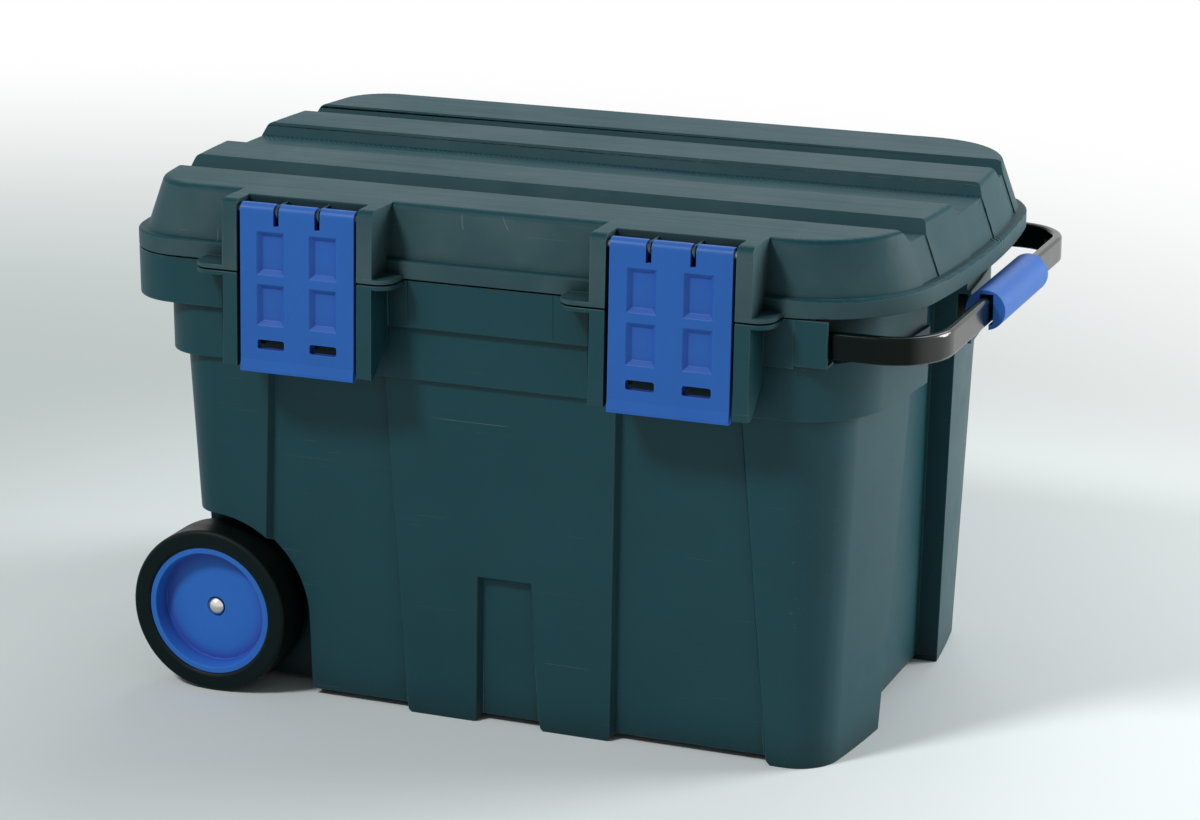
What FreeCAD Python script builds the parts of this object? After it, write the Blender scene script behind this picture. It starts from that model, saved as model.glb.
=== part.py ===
import FreeCAD, Part
import math
import os
import re

import Sketcher
from FreeCAD import Placement, Rotation, Vector

# A wheeled jobsite storage box. Millimetres, +Z up, X along the box, the latches at -Y.
# Every shape is drawn about the middle of the tub's footprint. A last placement moves the
# origin to the middle of the overall box, on the floor.

# name, size or the formula that gives it from other sizes, meaning
SIZES = [
    ("rim_half_length", 304.5, "rim band, middle of the handle end"),
    ("rim_half_depth", 188.7, "rim band, long side"),
    ("rim_corner", 79, "rim band, corner radius"),
    ("end_bow", 900, "plan radius of the slightly bowed ends"),
    ("wheel_end_extra", 5, "how much farther the wheel end reaches than the handle end"),
    ("wheel_end_ratio", 0.55, "corner radii of the wheel end over those of the handle end"),
    ("seam_height", 332.6, "top of the tub"),
    ("rim_height", 32.6, "rim band"),
    ("rim_bottom", "seam_height - rim_height", "top of the gutter's floor"),
    ("draft", 2.5, "outward draft of the tub wall, degrees"),
    ("wall", 3.5, "wall thickness of tub and lid"),
    ("skin", 3, "thickness of the rim, gutter and collar walls"),
    ("gutter_floor", 2, "thickness of the gutter's floor"),
    ("running_gap", 0.3, "gap between faces that move past each other"),
    ("overlap", 1, "how far joined solids run into each other"),
    ("overrun", 20, "how far cutting solids run past what they cut"),
    ("foot_inset_end", 50.5, "foot of the tub wall inside the rim, at the ends"),
    ("foot_inset_side", 19.2, "foot of the tub wall inside the rim, on the long sides"),
    ("foot_half_length", "rim_half_length - foot_inset_end", "tub wall at the floor"),
    ("foot_half_depth", "rim_half_depth - foot_inset_side", "tub wall at the floor"),
    ("foot_corner", 32, "upright corner radius of the tub wall"),
    ("foot_height", 5, "how far the feet stand below the tub's underside"),
    ("foot_width", 28, "how far a foot reaches in from the wall"),
    ("foot_chamfer", 5, "chamfer on the lower corners of the feet"),
    ("collar_height", 41, "collar below the rim"),
    ("collar_bottom", "rim_bottom - collar_height", "lower edge of the collar"),
    ("collar_inset_end", 27.5, "collar inside the rim, at the ends"),
    ("collar_inset_side", 4.3, "collar inside the rim, on the long sides"),
    ("collar_half_length", "rim_half_length - collar_inset_end", "collar below the rim"),
    ("collar_half_depth", "rim_half_depth - collar_inset_side", "collar below the rim"),
    ("collar_corner", 60, "collar corner radius"),
    ("gutter_inset_end", 30.5, "wall inside the gutter from the rim's face, at the ends"),
    ("gutter_inset_side", 14.8, "wall inside the gutter from the rim's face, on the long sides"),
    ("gutter_half_length", "rim_half_length - gutter_inset_end", "wall inside the gutter"),
    ("gutter_half_depth", "rim_half_depth - gutter_inset_side", "wall inside the gutter"),
    ("gutter_corner", 52, "corner radius of the wall inside the gutter"),
    ("gutter_rib_pitch", 60, "spacing of the ribs across the gutter at the wheel end"),
    ("panel_depth", 6, "depth of the recessed panels"),
    ("panel_slope_angle", 28, "slope of the panel steps, degrees"),
    ("panel_inner_top", 92, "recessed panel, inner edge, at the collar"),
    ("panel_inner_foot", 82, "recessed panel, inner edge, at the floor"),
    ("panel_outer_top", 177, "recessed panel, outer edge, at the collar"),
    ("panel_outer_foot", 196, "recessed panel, outer edge, at the floor"),
    ("notch_top", 111, "height of the notch in the middle panel"),
    ("notch_half_top", 18, "half width of the notch at its top"),
    ("notch_half_foot", 22.5, "half width of the notch at the floor"),
    ("grip_bay_depth", 19, "depth of the finger bay in the handle end"),
    ("grip_bay_half_foot", 74, "half width of the finger bay at the floor"),
    ("grip_bay_half_top", 46, "half width of the finger bay at the seam"),
    ("end_panel_half", 62, "half width of the recessed panel in the wheel end"),
    ("wheel_radius", 62.4, "tyre"),
    ("wheel_inset", 69.8, "axle inside the rim's end"),
    ("wheel_centre", "rim_half_length - wheel_inset", "axle from the middle of the tub"),
    ("wheel_outside", 16.1, "outer face of the tyre beyond the tub wall's foot"),
    ("wheel_face", "foot_half_depth + wheel_outside", "outer face of the tyre"),
    ("tyre_width", 36, "tyre"),
    ("tyre_thick", 13.4, "tyre from the hub out"),
    ("tyre_round", 3, "shoulder radius of the tyre"),
    ("tyre_bead", 2, "chamfer of the tyre at the hub"),
    ("arch_clearance", 11.6, "wheel arch round the tyre"),
    ("arch_radius", "wheel_radius + arch_clearance", "wheel arch"),
    ("arch_behind", 7.1, "wheel arch behind the tyre"),
    ("arch_floor", "wheel_face - tyre_width - arch_behind", "inner wall of the wheel arch"),
    ("arch_wall", 6, "thickness of that wall, which carries the axle"),
    ("axle_radius", 5, "axle"),
    ("axle_play", 0.05, "radial clearance of axle, latch pins and hinge pins"),
    ("tunnel_radius", 9, "half width of the axle tunnel under the tub"),
    ("hub_radius", "wheel_radius - tyre_thick", "outside of the hub, inside of the tyre"),
    ("hub_rim", 4.5, "thickness of the hub's rim at its face"),
    ("hub_inset", 1.5, "hub face below the tyre face"),
    ("hub_dish", 13, "depth of the hub's dish from the tyre face"),
    ("hub_web", 4, "thickness of the hub's web"),
    ("hub_slope", 3, "how far the hub's rim slopes in towards its web"),
    ("boss_radius", 11, "hub boss"),
    ("cap_pocket_radius", 7.3, "pocket for the axle cap"),
    ("cap_pocket_depth", 3, "pocket for the axle cap"),
    ("cap_radius", 6.6, "axle cap"),
    ("cap_skirt", 0.4, "straight side of the cap above its pocket"),
    ("cap_dome", 3.4, "height of the cap's dome"),
    ("washer_radius", 12, "washer behind the hub"),
    ("washer_thick", 4.7, "washer behind the hub"),
    ("lid_gap", 1.1, "gap between tub and lid"),
    ("lid_height", 52.4, "lid above the seam"),
    ("lid_top", "seam_height + lid_height", "top of the lid"),
    ("skirt_height", 14.4, "lid skirt above the seam"),
    ("ledge_height", "seam_height + skirt_height", "ledge round the lid, top of its skirt"),
    ("skirt_half_length", "rim_half_length", "lid skirt"),
    ("skirt_outside", 1.8, "lid skirt beyond the rim, on the long sides"),
    ("skirt_half_depth", "rim_half_depth + skirt_outside", "lid skirt"),
    ("skirt_corner", 84, "lid skirt, corner radius"),
    ("skirt_round", 2, "rounding of the skirt's upper edge"),
    ("ledge_width_end", 6.5, "ledge round the lid, at the ends"),
    ("ledge_width_side", 5, "ledge round the lid, on the long sides"),
    ("crown_half_length", "skirt_half_length - ledge_width_end", "lid above the ledge"),
    ("crown_half_depth", "skirt_half_depth - ledge_width_side", "lid above the ledge"),
    ("crown_corner", 76, "lid above the ledge, corner radius"),
    ("crown_lean_end", 14, "how far the lid's ends lean in"),
    ("crown_lean_side", 6.5, "how far the lid's long sides lean in"),
    ("crown_round", 5, "rounding of the lid's top edge"),
    ("valley_depth", 9.6, "depth of the valleys in the lid"),
    ("valley_slope", 6, "width of a valley's sloping side"),
    ("run_out_depth", 1.2, "depth of the flutes that run from the valleys down the lid's ends"),
    ("front_valley_near", -126, "front valley, front edge"),
    ("front_valley_far", -87, "front valley, back edge"),
    ("wide_valley_half", 37, "half width of the middle valley"),
    ("back_valley_near", 87, "back valley, front edge"),
    ("back_valley_far", 116, "back valley, back edge"),
    ("latch_spacing_ratio", 0.46, "latch middle over the rim's half length"),
    ("latch_spacing", "rim_half_length * latch_spacing_ratio", "latch middle from the box's"),
    ("latch_half_width", 44.4, "latch"),
    ("latch_gap", 2.4, "gap beside the latch"),
    ("pillar_width", 11.7, "upright beside the latch"),
    ("tower_reach", 22.8, "front of the uprights before the rim, at the lid's top"),
    ("tower_front", "rim_half_depth + tower_reach", "front of the uprights at the lid's top"),
    ("tower_lean", 2.8, "forward lean of uprights and latches, degrees"),
    ("tower_above", 6, "foot of the uprights above the collar's lower edge"),
    ("tower_bottom", "collar_bottom + tower_above", "foot of the uprights"),
    ("tower_flare", 27, "height over which the uprights' foot slopes back to the collar"),
    ("tower_toe", 5, "flat of the uprights' foot"),
    ("bay_reach", 10.7, "wall behind the latches before the rim"),
    ("bay_floor", "rim_half_depth + bay_reach", "wall behind the latches"),
    ("lid_bay_reach", 2.7, "wall behind the latches' rolls before the rim"),
    ("lid_bay_floor", "rim_half_depth + lid_bay_reach", "wall behind the latches' rolls"),
    ("tower_round", 6, "rounding at the top of the uprights' front"),
    ("slot_well_side", 1.5, "opening behind a latch's slot, wider than the slot at each side"),
    ("slot_well_height", 13, "opening behind a latch's slot"),
    ("slot_well_drop", 1.5, "opening behind a latch's slot, below the catch"),
    ("tab_left", 25, "seam tab beyond the left upright"),
    ("tab_right", 14, "seam tab beyond the right upright"),
    ("tab_front", "tower_front + lid_height * tan(tower_lean)", "front edge of the seam tabs"),
    ("tab_thick", 3.3, "thickness of the seam tabs"),
    ("tab_corner", 13, "corner radius of the seam tabs"),
    ("latch_pin_drop", 7.6, "latch pin below the lid's top"),
    ("latch_pin_height", "lid_top - latch_pin_drop", "latch pin"),
    ("latch_pin_reach", 16.8, "latch pin before the rim"),
    ("latch_pin_forward", "rim_half_depth + latch_pin_reach", "latch pin"),
    ("latch_pin_radius", 2.5, "latch pin"),
    ("latch_pin_seat", 8, "how deep the pin sits in each upright"),
    ("latch_roll", 5.5, "radius of the rolled top of the latch"),
    ("pin_rib_radius", 4.6, "lid's rib round the latch pin, in a notch of the latch"),
    ("pin_rib_thick", 1.6, "lid's rib round the latch pin"),
    ("pin_rib_foot", 3, "underside of the rib below the pin"),
    ("latch_length", 115.8, "latch below its pin"),
    ("latch_thick", 4.6, "latch plate"),
    ("latch_lip", 1.2, "outward curl of the latch's lower edge"),
    ("latch_lip_start", 9, "start of the curl above the lower edge"),
    ("latch_lip_foot", 2, "end of the curl above the lower edge"),
    ("window_offset", 20.5, "latch recesses and slots from its middle"),
    ("window_half_width", 10.9, "latch recess"),
    ("window_depth", 3.2, "latch recess"),
    ("upper_window_top", 14.1, "upper recess below the pin"),
    ("upper_window_foot", 45.3, "upper recess below the pin"),
    ("lower_window_top", 51.9, "lower recess below the pin"),
    ("lower_window_foot", 81.8, "lower recess below the pin"),
    ("slot_drop", 95.4, "slots below the pin"),
    ("slot_half_width", 10.5, "slot"),
    ("slot_half_height", 3.5, "slot"),
    ("slot_corner", 1.8, "slot corner radius"),
    ("notch_offset", 16, "notches in the rolled top from the middle"),
    ("notch_width", 4, "notch in the rolled top"),
    ("notch_drop", 9.8, "notch below the pin"),
    ("catch_drop", 43.6, "underside of the catch below the seam"),
    ("catch_height", "seam_height - catch_drop", "underside of the catch behind the latch"),
    ("catch_thick", 4, "catch"),
    ("catch_reach", 5.6, "catch in front of the bay wall"),
    ("catch_half_width", 30, "catch and hook"),
    ("hook_overlap", 3, "how far the hook reaches behind the catch's edge"),
    ("hook_thick", 5.5, "hook"),
    ("hook_gap", 0.7, "hook below the catch"),
    ("hinge_reach", 9.8, "hinge pin behind the rim"),
    ("hinge_back", "rim_half_depth + hinge_reach", "hinge pin"),
    ("hinge_pin_radius", 3, "hinge pin"),
    ("knuckle_radius", 6.5, "hinge knuckle"),
    ("knuckle_drop", 11, "foot of the tub's knuckle arms below the seam"),
    ("lid_knuckle_half", 20, "half length of the lid's knuckle"),
    ("tub_knuckle_length", 18, "each of the tub's two knuckles"),
    ("knuckle_gap", 0.4, "gap between knuckles"),
    ("bar_inset", 6.7, "outside of the handle's arms inside the rim's face"),
    ("bar_half_depth", "rim_half_depth - bar_inset", "outside of the handle's arms"),
    ("bar_beyond", 13.5, "outside of the handle's cross bar beyond the rim's end"),
    ("bar_reach", "rim_half_length + bar_beyond", "outside of the handle's cross bar"),
    ("bar_thick", 7.5, "handle bar"),
    ("bar_height", 19.4, "handle bar"),
    ("bar_above", 4.6, "handle bar above the gutter's floor"),
    ("bar_bottom", "rim_bottom + bar_above", "underside of the handle bar"),
    ("bar_round", 2.4, "edge radius of the handle bar"),
    ("bar_wall", 1.6, "wall of the handle's tube"),
    ("bar_corner", 42, "outside radius of the handle's corners"),
    ("bar_inner_end", -12, "inner ends of the handle's arms"),
    ("grip_radius", 14.4, "grip sleeve"),
    ("grip_half_length", 58, "grip sleeve"),
    ("grip_offset", 8, "middle of the grip sleeve along the cross bar"),
    ("grip_clearance", 0.3, "bar inside and below the sleeve's bore"),
    ("grip_slack", 1.5, "bar outside and above the sleeve's bore"),
    ("grip_mouth", 5, "slot under the grip sleeve"),
    ("guide_inset", 60.5, "outer end of the guide inside the rim's end"),
    ("guide_end", "rim_half_length - guide_inset", "outer end of the guide"),
    ("guide_length", 24, "guide at the end of the rim band"),
    ("guide_start", "guide_end - guide_length", "where the rim band ends and the guide begins"),
    ("guide_wall", 2.5, "outer wall of the guide"),
    ("guide_floor", 2, "floor of the guide"),
    ("guide_collar", 11, "length of the guide's close part"),
    ("shoe_length", 30, "sliding shoe at the arm's inner end"),
    ("shoe_beyond", 5, "shoe past the end of the arm"),
    ("shoe_above", 3, "shoe above the arm"),
    ("rivet_radius", 2.5, "rivet through arm and shoe"),
]

DOC = FreeCAD.newDocument("jobsite_storage_box")
SHEET = DOC.addObject("Spreadsheet::Sheet", "Sizes")
for row, (alias, size, meaning) in enumerate(SIZES, start=1):
    SHEET.set(f"A{row}", meaning)
    SHEET.setAlias(f"B{row}", alias)
for row, (alias, size, meaning) in enumerate(SIZES, start=1):
    SHEET.set(f"B{row}", f"={size}")
DOC.recompute()
NAMES = {alias for alias, size, meaning in SIZES}

# Sizes that follow from the driving ones.
HANDLE_REACH = "(bar_reach - bar_thick / 2 + grip_radius)"
LATCH_FRONT = (
    "(latch_pin_forward + (latch_roll + latch_lip) * cos(tower_lean)"
    " + latch_length * sin(tower_lean))"
)
BACK_REACH = "(hinge_back + knuckle_radius)"
ORIGIN_X = f"((skirt_half_length + wheel_end_extra - {HANDLE_REACH}) / 2)"
ORIGIN_Y = f"(({LATCH_FRONT} - {BACK_REACH}) / 2)"
TOWER_HALF = "(latch_half_width + latch_gap + pillar_width)"
BAY_HALF = "(latch_half_width + latch_gap)"
LID_BOTTOM = "(seam_height + lid_gap)"
ABOVE = "(seam_height + overrun)"
PANEL_TOP = "(collar_bottom + 0.75 * overrun)"
WINDOW_SLOPE = 48

XY = Rotation(Vector(0, 0, 1), 0)
XZ = Rotation(Vector(1, 0, 0), 90)
YZ = Rotation(Vector(1, 1, 1), 120)


def value(text):
    """The number that an expression on the sheet's names gives."""
    return float(SHEET.evalExpression(str(text)))


def bound(text):
    """The same expression, as another object of the document writes it."""
    return re.sub(
        r"[a-z_]+",
        lambda word: "Sizes." + word.group() if word.group() in NAMES else word.group(),
        str(text),
    )


def bind(thing, **properties):
    """Binds properties of an object to expressions; a double underscore is a dot."""
    for name, text in properties.items():
        thing.setExpression(name.replace("__", "."), bound(text))
    return thing


# ---- sketches ----------------------------------------------------------------------------


def constrain(sketch, kind, *where, to):
    index = sketch.addConstraint(Sketcher.Constraint(kind, *where, value(to)))
    sketch.setExpression(f"Constraints[{index}]", bound(to))


def outline(sketch, corners):
    """A closed profile. Each corner is (x, y), or (x, y, radius, turn) where the edge that
    leaves it is an arc that turns left (turn 1) or right (turn -1)."""
    points = [Vector(value(corner[0]), value(corner[1]), 0) for corner in corners]
    ends = []
    for index, corner in enumerate(corners):
        start = points[index]
        finish = points[(index + 1) % len(points)]
        if len(corner) == 2:
            edge = sketch.addGeometry(Part.LineSegment(start, finish), False)
            ends.append(((edge, 1), (edge, 2)))
            continue
        radius, turn = value(corner[2]), corner[3]
        chord = finish - start
        side = Vector(-chord.y, chord.x, 0).normalize() * turn
        rise = math.sqrt(max(radius**2 - (chord.Length / 2) ** 2, 0))
        centre = (start + finish) * 0.5 + side * rise
        first, last = (start, finish) if turn > 0 else (finish, start)
        angles = [math.atan2(p.y - centre.y, p.x - centre.x) for p in (first, last)]
        circle = Part.Circle(centre, Vector(0, 0, 1), radius)
        edge = sketch.addGeometry(Part.ArcOfCircle(circle, *angles), False)
        ends.append(((edge, 1), (edge, 2)) if turn > 0 else ((edge, 2), (edge, 1)))
        constrain(sketch, "Radius", edge, to=corner[2])
    for index, corner in enumerate(corners):
        leaving = ends[index][0]
        arriving = ends[index - 1][1]
        sketch.addConstraint(Sketcher.Constraint("Coincident", *arriving, *leaving))
        constrain(sketch, "DistanceX", -1, 1, *leaving, to=corner[0])
        constrain(sketch, "DistanceY", -1, 1, *leaving, to=corner[1])


def ring(sketch, across, up, radius):
    """A full circle."""
    centre = Vector(value(across), value(up), 0)
    circle = Part.Circle(centre, Vector(0, 0, 1), value(radius))
    edge = sketch.addGeometry(circle, False)
    constrain(sketch, "Radius", edge, to=radius)
    constrain(sketch, "DistanceX", -1, 1, edge, 3, to=across)
    constrain(sketch, "DistanceY", -1, 1, edge, 3, to=up)


def box_corners(x_low, x_high, y_low, y_high):
    return [(x_low, y_low), (x_high, y_low), (x_high, y_high), (x_low, y_high)]


def end_points(reach, half_depth, corner):
    """Where a bowed end's corner arc starts on the long side, and where it meets the bow."""
    middle = f"({reach} - end_bow)"
    inner = f"(end_bow - {corner})"
    side = f"({half_depth} - {corner})"
    straight = f"({middle} + sqrt({inner} ^ 2 - {side} ^ 2))"
    meet_x = f"({middle} + ({straight} - {middle}) * end_bow / {inner})"
    meet_y = f"({side} * end_bow / {inner})"
    return straight, meet_x, meet_y


def plan_corners(half_length, half_depth, corner):
    """A rounded rectangle with straight long sides and slightly bowed ends. The wheel end
    reaches a little farther and has tighter corners."""
    straight, meet_x, meet_y = end_points(half_length, half_depth, corner)
    tight = f"({corner} * wheel_end_ratio)"
    wheel_reach = f"({half_length} + wheel_end_extra)"
    wheel_straight, wheel_x, wheel_y = end_points(wheel_reach, half_depth, tight)
    return [
        (f"-{wheel_straight}", f"-{half_depth}"),
        (straight, f"-{half_depth}", corner, 1),
        (meet_x, f"-{meet_y}", "end_bow", 1),
        (meet_x, meet_y, corner, 1),
        (straight, half_depth),
        (f"-{wheel_straight}", half_depth, tight, 1),
        (f"-{wheel_x}", wheel_y, "end_bow", 1),
        (f"-{wheel_x}", f"-{wheel_y}", tight, 1),
    ]


# ---- solids made with Part ---------------------------------------------------------------


def loose_sketch(name, turn, outlines, **place):
    sketch = DOC.addObject("Sketcher::SketchObject", name + "_sketch")
    sketch.Placement = Placement(Vector(), turn)
    for corners in outlines:
        outline(sketch, corners)
    return bind(sketch, **{f"Placement__Base__{axis}": to for axis, to in place.items()})


def extrusion(name, sketch, length, taper=None):
    solid = DOC.addObject("Part::Extrusion", name)
    solid.Base = sketch
    solid.DirMode = "Normal"
    solid.Solid = True
    bind(solid, LengthFwd=length)
    if taper is not None:
        bind(solid, TaperAngle=taper)
    return solid


def plan_prism(name, half_length, half_depth, corner, low, high, taper=None):
    corners = plan_corners(half_length, half_depth, corner)
    sketch = loose_sketch(name, XY, [corners], z=low)
    return extrusion(name, sketch, f"{high} - ({low})", taper)


def plan_loft(name, low, low_plan, high, high_plan):
    """A solid between two plan outlines."""
    solid = DOC.addObject("Part::Loft", name)
    solid.Sections = [
        loose_sketch(name + "_low", XY, [plan_corners(*low_plan)], z=low),
        loose_sketch(name + "_high", XY, [plan_corners(*high_plan)], z=high),
    ]
    solid.Solid = True
    solid.Ruled = True
    return solid


def block(name, x_low, x_high, y_low, y_high, z_low, z_high):
    solid = DOC.addObject("Part::Box", name)
    bind(
        solid,
        Length=f"{x_high} - ({x_low})",
        Width=f"{y_high} - ({y_low})",
        Height=f"{z_high} - ({z_low})",
        Placement__Base__x=x_low,
        Placement__Base__y=y_low,
        Placement__Base__z=z_low,
    )
    return solid


def rod_x(name, radius, x_low, x_high, y_at, z_at):
    solid = DOC.addObject("Part::Cylinder", name)
    solid.Placement = Placement(Vector(), Rotation(Vector(0, 1, 0), 90))
    bind(
        solid,
        Radius=radius,
        Height=f"{x_high} - ({x_low})",
        Placement__Base__x=x_low,
        Placement__Base__y=y_at,
        Placement__Base__z=z_at,
    )
    return solid


def rod_y(name, radius, y_low, y_high, x_at, z_at):
    solid = DOC.addObject("Part::Cylinder", name)
    solid.Placement = Placement(Vector(), Rotation(Vector(1, 0, 0), -90))
    bind(
        solid,
        Radius=radius,
        Height=f"{y_high} - ({y_low})",
        Placement__Base__x=x_at,
        Placement__Base__y=y_low,
        Placement__Base__z=z_at,
    )
    return solid


def fuse(name, *solids):
    joined = DOC.addObject("Part::MultiFuse", name)
    joined.Shapes = list(solids)
    return joined


def cut(name, base, tool):
    rest = DOC.addObject("Part::Cut", name)
    rest.Base = base
    rest.Tool = tool
    return rest


def mirror(name, solid, normal):
    image = DOC.addObject("Part::Mirroring", name)
    image.Source = solid
    image.Normal = normal
    return image


# ---- solids made with PartDesign ---------------------------------------------------------


def body_plane(body, role):
    return next(f for f in body.Origin.OriginFeatures if f.Role == role)


def body_sketch(body, name, role, offset="0"):
    """An empty sketch on one of the body's own planes, moved along its normal."""
    sketch = body.newObject("Sketcher::SketchObject", f"{body.Name}_{name}")
    sketch.AttachmentSupport = (body_plane(body, role), "")
    sketch.MapMode = "FlatFace"
    bind(sketch, AttachmentOffset__Base__z=offset)
    return sketch


def pad(body, sketch, length, both_sides=False):
    feature = body.newObject("PartDesign::Pad", sketch.Name + "_pad")
    feature.Profile = sketch
    feature.SideType = "Symmetric" if both_sides else "One side"
    return bind(feature, Length=length)


def pocket(body, sketch, length, both_sides=False, backwards=False, taper=None):
    feature = body.newObject("PartDesign::Pocket", sketch.Name + "_pocket")
    feature.Profile = sketch
    feature.SideType = "Symmetric" if both_sides else "One side"
    feature.Reversed = backwards
    bind(feature, Length=length)
    if taper is not None:
        feature.TaperAngle = taper
    return feature


def revolution(body, sketch):
    feature = body.newObject("PartDesign::Revolution", sketch.Name + "_turned")
    feature.Profile = sketch
    feature.ReferenceAxis = (sketch, ["V_Axis"])
    feature.Angle = 360
    return feature


# ---- finished nodes ----------------------------------------------------------------------

NODES = []


def node(solid, label, x_at="0", y_at="0", z_at="0", turn=None):
    """Names a finished sub-part and puts it in its place."""
    solid.Label = label
    if turn is not None:
        solid.Placement = Placement(Vector(), turn)
    bind(
        solid,
        Placement__Base__x=f"{ORIGIN_X} + {x_at}",
        Placement__Base__y=f"{ORIGIN_Y} + {y_at}",
        Placement__Base__z=z_at,
    )
    NODES.append(solid)
    return solid


SIDES = (("left", -1), ("right", 1))
ENDS = (("front", -1), ("rear", 1))


# ---- the tub -----------------------------------------------------------------------------


def side_panel_tool(name, grow):
    """The recessed panels and the notch of one long side, as one cutting solid. Its floor
    leans with the wall. Grown by a wall thickness, it keeps the inside clear of them."""
    panel = [
        (f"panel_inner_foot - {grow}", "-overrun / 2"),
        (f"panel_outer_foot + {grow}", "-overrun / 2"),
        (f"panel_outer_top + {grow}", PANEL_TOP),
        (f"panel_inner_top - {grow}", PANEL_TOP),
    ]
    mirrored = [(f"-({across})", up) for across, up in reversed(panel)]
    notch = [
        (f"-notch_half_foot - {grow}", "-overrun / 2"),
        (f"notch_half_foot + {grow}", "-overrun / 2"),
        (f"notch_half_top + {grow}", f"notch_top + {grow}"),
        (f"-notch_half_top - {grow}", f"notch_top + {grow}"),
    ]
    sketch = loose_sketch(name, XZ, [panel, mirrored, notch])
    sketch.Placement = Placement(Vector(), Rotation(Vector(1, 0, 0), 90))
    bind(
        sketch,
        Placement__Base__y=f"-(foot_half_depth - panel_depth - {grow})",
        Placement__Rotation__Angle="90 + draft",
    )
    return extrusion(name, sketch, "panel_depth + overrun", "panel_slope_angle")


def end_recess(name, reach, depth, half_foot, half_top, slope, top, grow):
    """A recess in the handle end of the tub, leaning with the wall."""
    corners = [
        (f"-{half_foot} - {grow}", "-overrun / 2"),
        (f"{half_foot} + {grow}", "-overrun / 2"),
        (f"{half_top} + {grow}", top),
        (f"-{half_top} - {grow}", top),
    ]
    sketch = loose_sketch(name, YZ, [corners])
    solid = extrusion(name, sketch, f"{depth} + 2.5 * overrun", slope)
    # The wall leans out by the draft, so the tool turns about its lower edge.
    upright = Rotation(Vector(0, 1, 0), value("draft"))
    sketch.Placement = Placement(Vector(), upright.multiply(YZ))
    bind(sketch, Placement__Base__x=f"{reach} - {depth} - {grow}")
    return solid


def wheel_end_panel(name, grow):
    half = "end_panel_half"
    reach = "foot_half_length + wheel_end_extra"
    panel = end_recess(name, reach, "panel_depth", half, half, "panel_slope_angle", PANEL_TOP, grow)
    return mirror(name + "_mirrored", panel, Vector(1, 0, 0))


def finger_bay(name, grow):
    halves = ("grip_bay_half_foot", "grip_bay_half_top")
    return end_recess(name, "foot_half_length", "grip_bay_depth", *halves, "4", ABOVE, grow)


def arch_tool(name, grow, inner):
    """The space of both wheels, open outward, downward and to the end."""
    radius = f"(arch_radius + {grow})"
    corners = [
        ("-skirt_half_length - 2 * overrun", "-overrun"),
        (f"-wheel_centre + {radius}", "-overrun"),
        (f"-wheel_centre + {radius}", "wheel_radius", radius, 1),
        ("-wheel_centre", f"wheel_radius + {radius}"),
        ("-skirt_half_length - 2 * overrun", f"wheel_radius + {radius}"),
    ]
    sketch = loose_sketch(name, XZ, [corners], y=f"-{inner}")
    front = extrusion(name, sketch, "foot_half_depth / 2")
    return fuse(name + "_pair", front, mirror(name + "_rear", front, Vector(0, 1, 0)))


def tunnel_tool(name, grow, reach):
    """The tunnel under the tub that the axle runs through."""
    radius = f"(tunnel_radius + {grow})"
    corners = [
        (f"-wheel_centre - {radius}", "-overrun"),
        (f"-wheel_centre + {radius}", "-overrun"),
        (f"-wheel_centre + {radius}", "wheel_radius", radius, 1),
        ("-wheel_centre", f"wheel_radius + {radius}", radius, 1),
        (f"-wheel_centre - {radius}", "wheel_radius"),
    ]
    sketch = loose_sketch(name, XZ, [corners], y=reach)
    return extrusion(name, sketch, f"2 * {reach}")


def foot_relief():
    """Takes the underside up to leave feet under the raised panels and corners."""
    around = plan_prism(
        "foot_ring",
        "(foot_half_length + overrun)",
        "(foot_half_depth + overrun)",
        "(foot_corner + overrun)",
        "-overlap",
        "foot_height",
    )
    inside = plan_prism(
        "foot_inside",
        "(foot_half_length - foot_width)",
        "(foot_half_depth - foot_width)",
        "foot_corner",
        "-2 * overlap",
        "foot_height + overlap",
    )
    spans = [
        ("panel_inner_foot", "panel_outer_foot"),
        ("-panel_outer_foot", "-panel_inner_foot"),
        ("-notch_half_foot", "notch_half_foot"),
    ]
    gaps = []
    for low, high in spans:
        gaps.append(
            [
                (f"{low} - foot_chamfer", "-3 * overlap"),
                (f"{high} + foot_chamfer", "-3 * overlap"),
                (f"{high} + foot_chamfer", "0"),
                (high, "foot_height"),
                (high, "foot_height + 2 * overlap"),
                (low, "foot_height + 2 * overlap"),
                (low, "foot_height"),
                (f"{low} - foot_chamfer", "0"),
            ]
        )
    reach = "(foot_half_depth + 2 * overrun)"
    across = extrusion("foot_gaps", loose_sketch("foot_gaps", XZ, gaps, y=reach), f"2 * {reach}")
    end_gap = block(
        "end_foot_gap",
        "0",
        "foot_half_length + 2 * overrun",
        "-grip_bay_half_foot",
        "grip_bay_half_foot",
        "-3 * overlap",
        "foot_height + 2 * overlap",
    )
    wheel_end = block(
        "wheel_end_gap",
        "-foot_half_length - 2 * overrun",
        "-panel_inner_foot",
        f"-{reach}",
        reach,
        "-3 * overlap",
        "foot_height + 2 * overlap",
    )
    feet = cut("feet", around, fuse("foot_spaces", inside, across, end_gap, wheel_end))
    across = "(rim_half_length + overrun)"
    slab = block("foot_slab", f"-{across}", across, f"-{reach}", reach, "-overlap", "foot_height")
    return cut("foot_relief", slab, feet)


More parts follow.
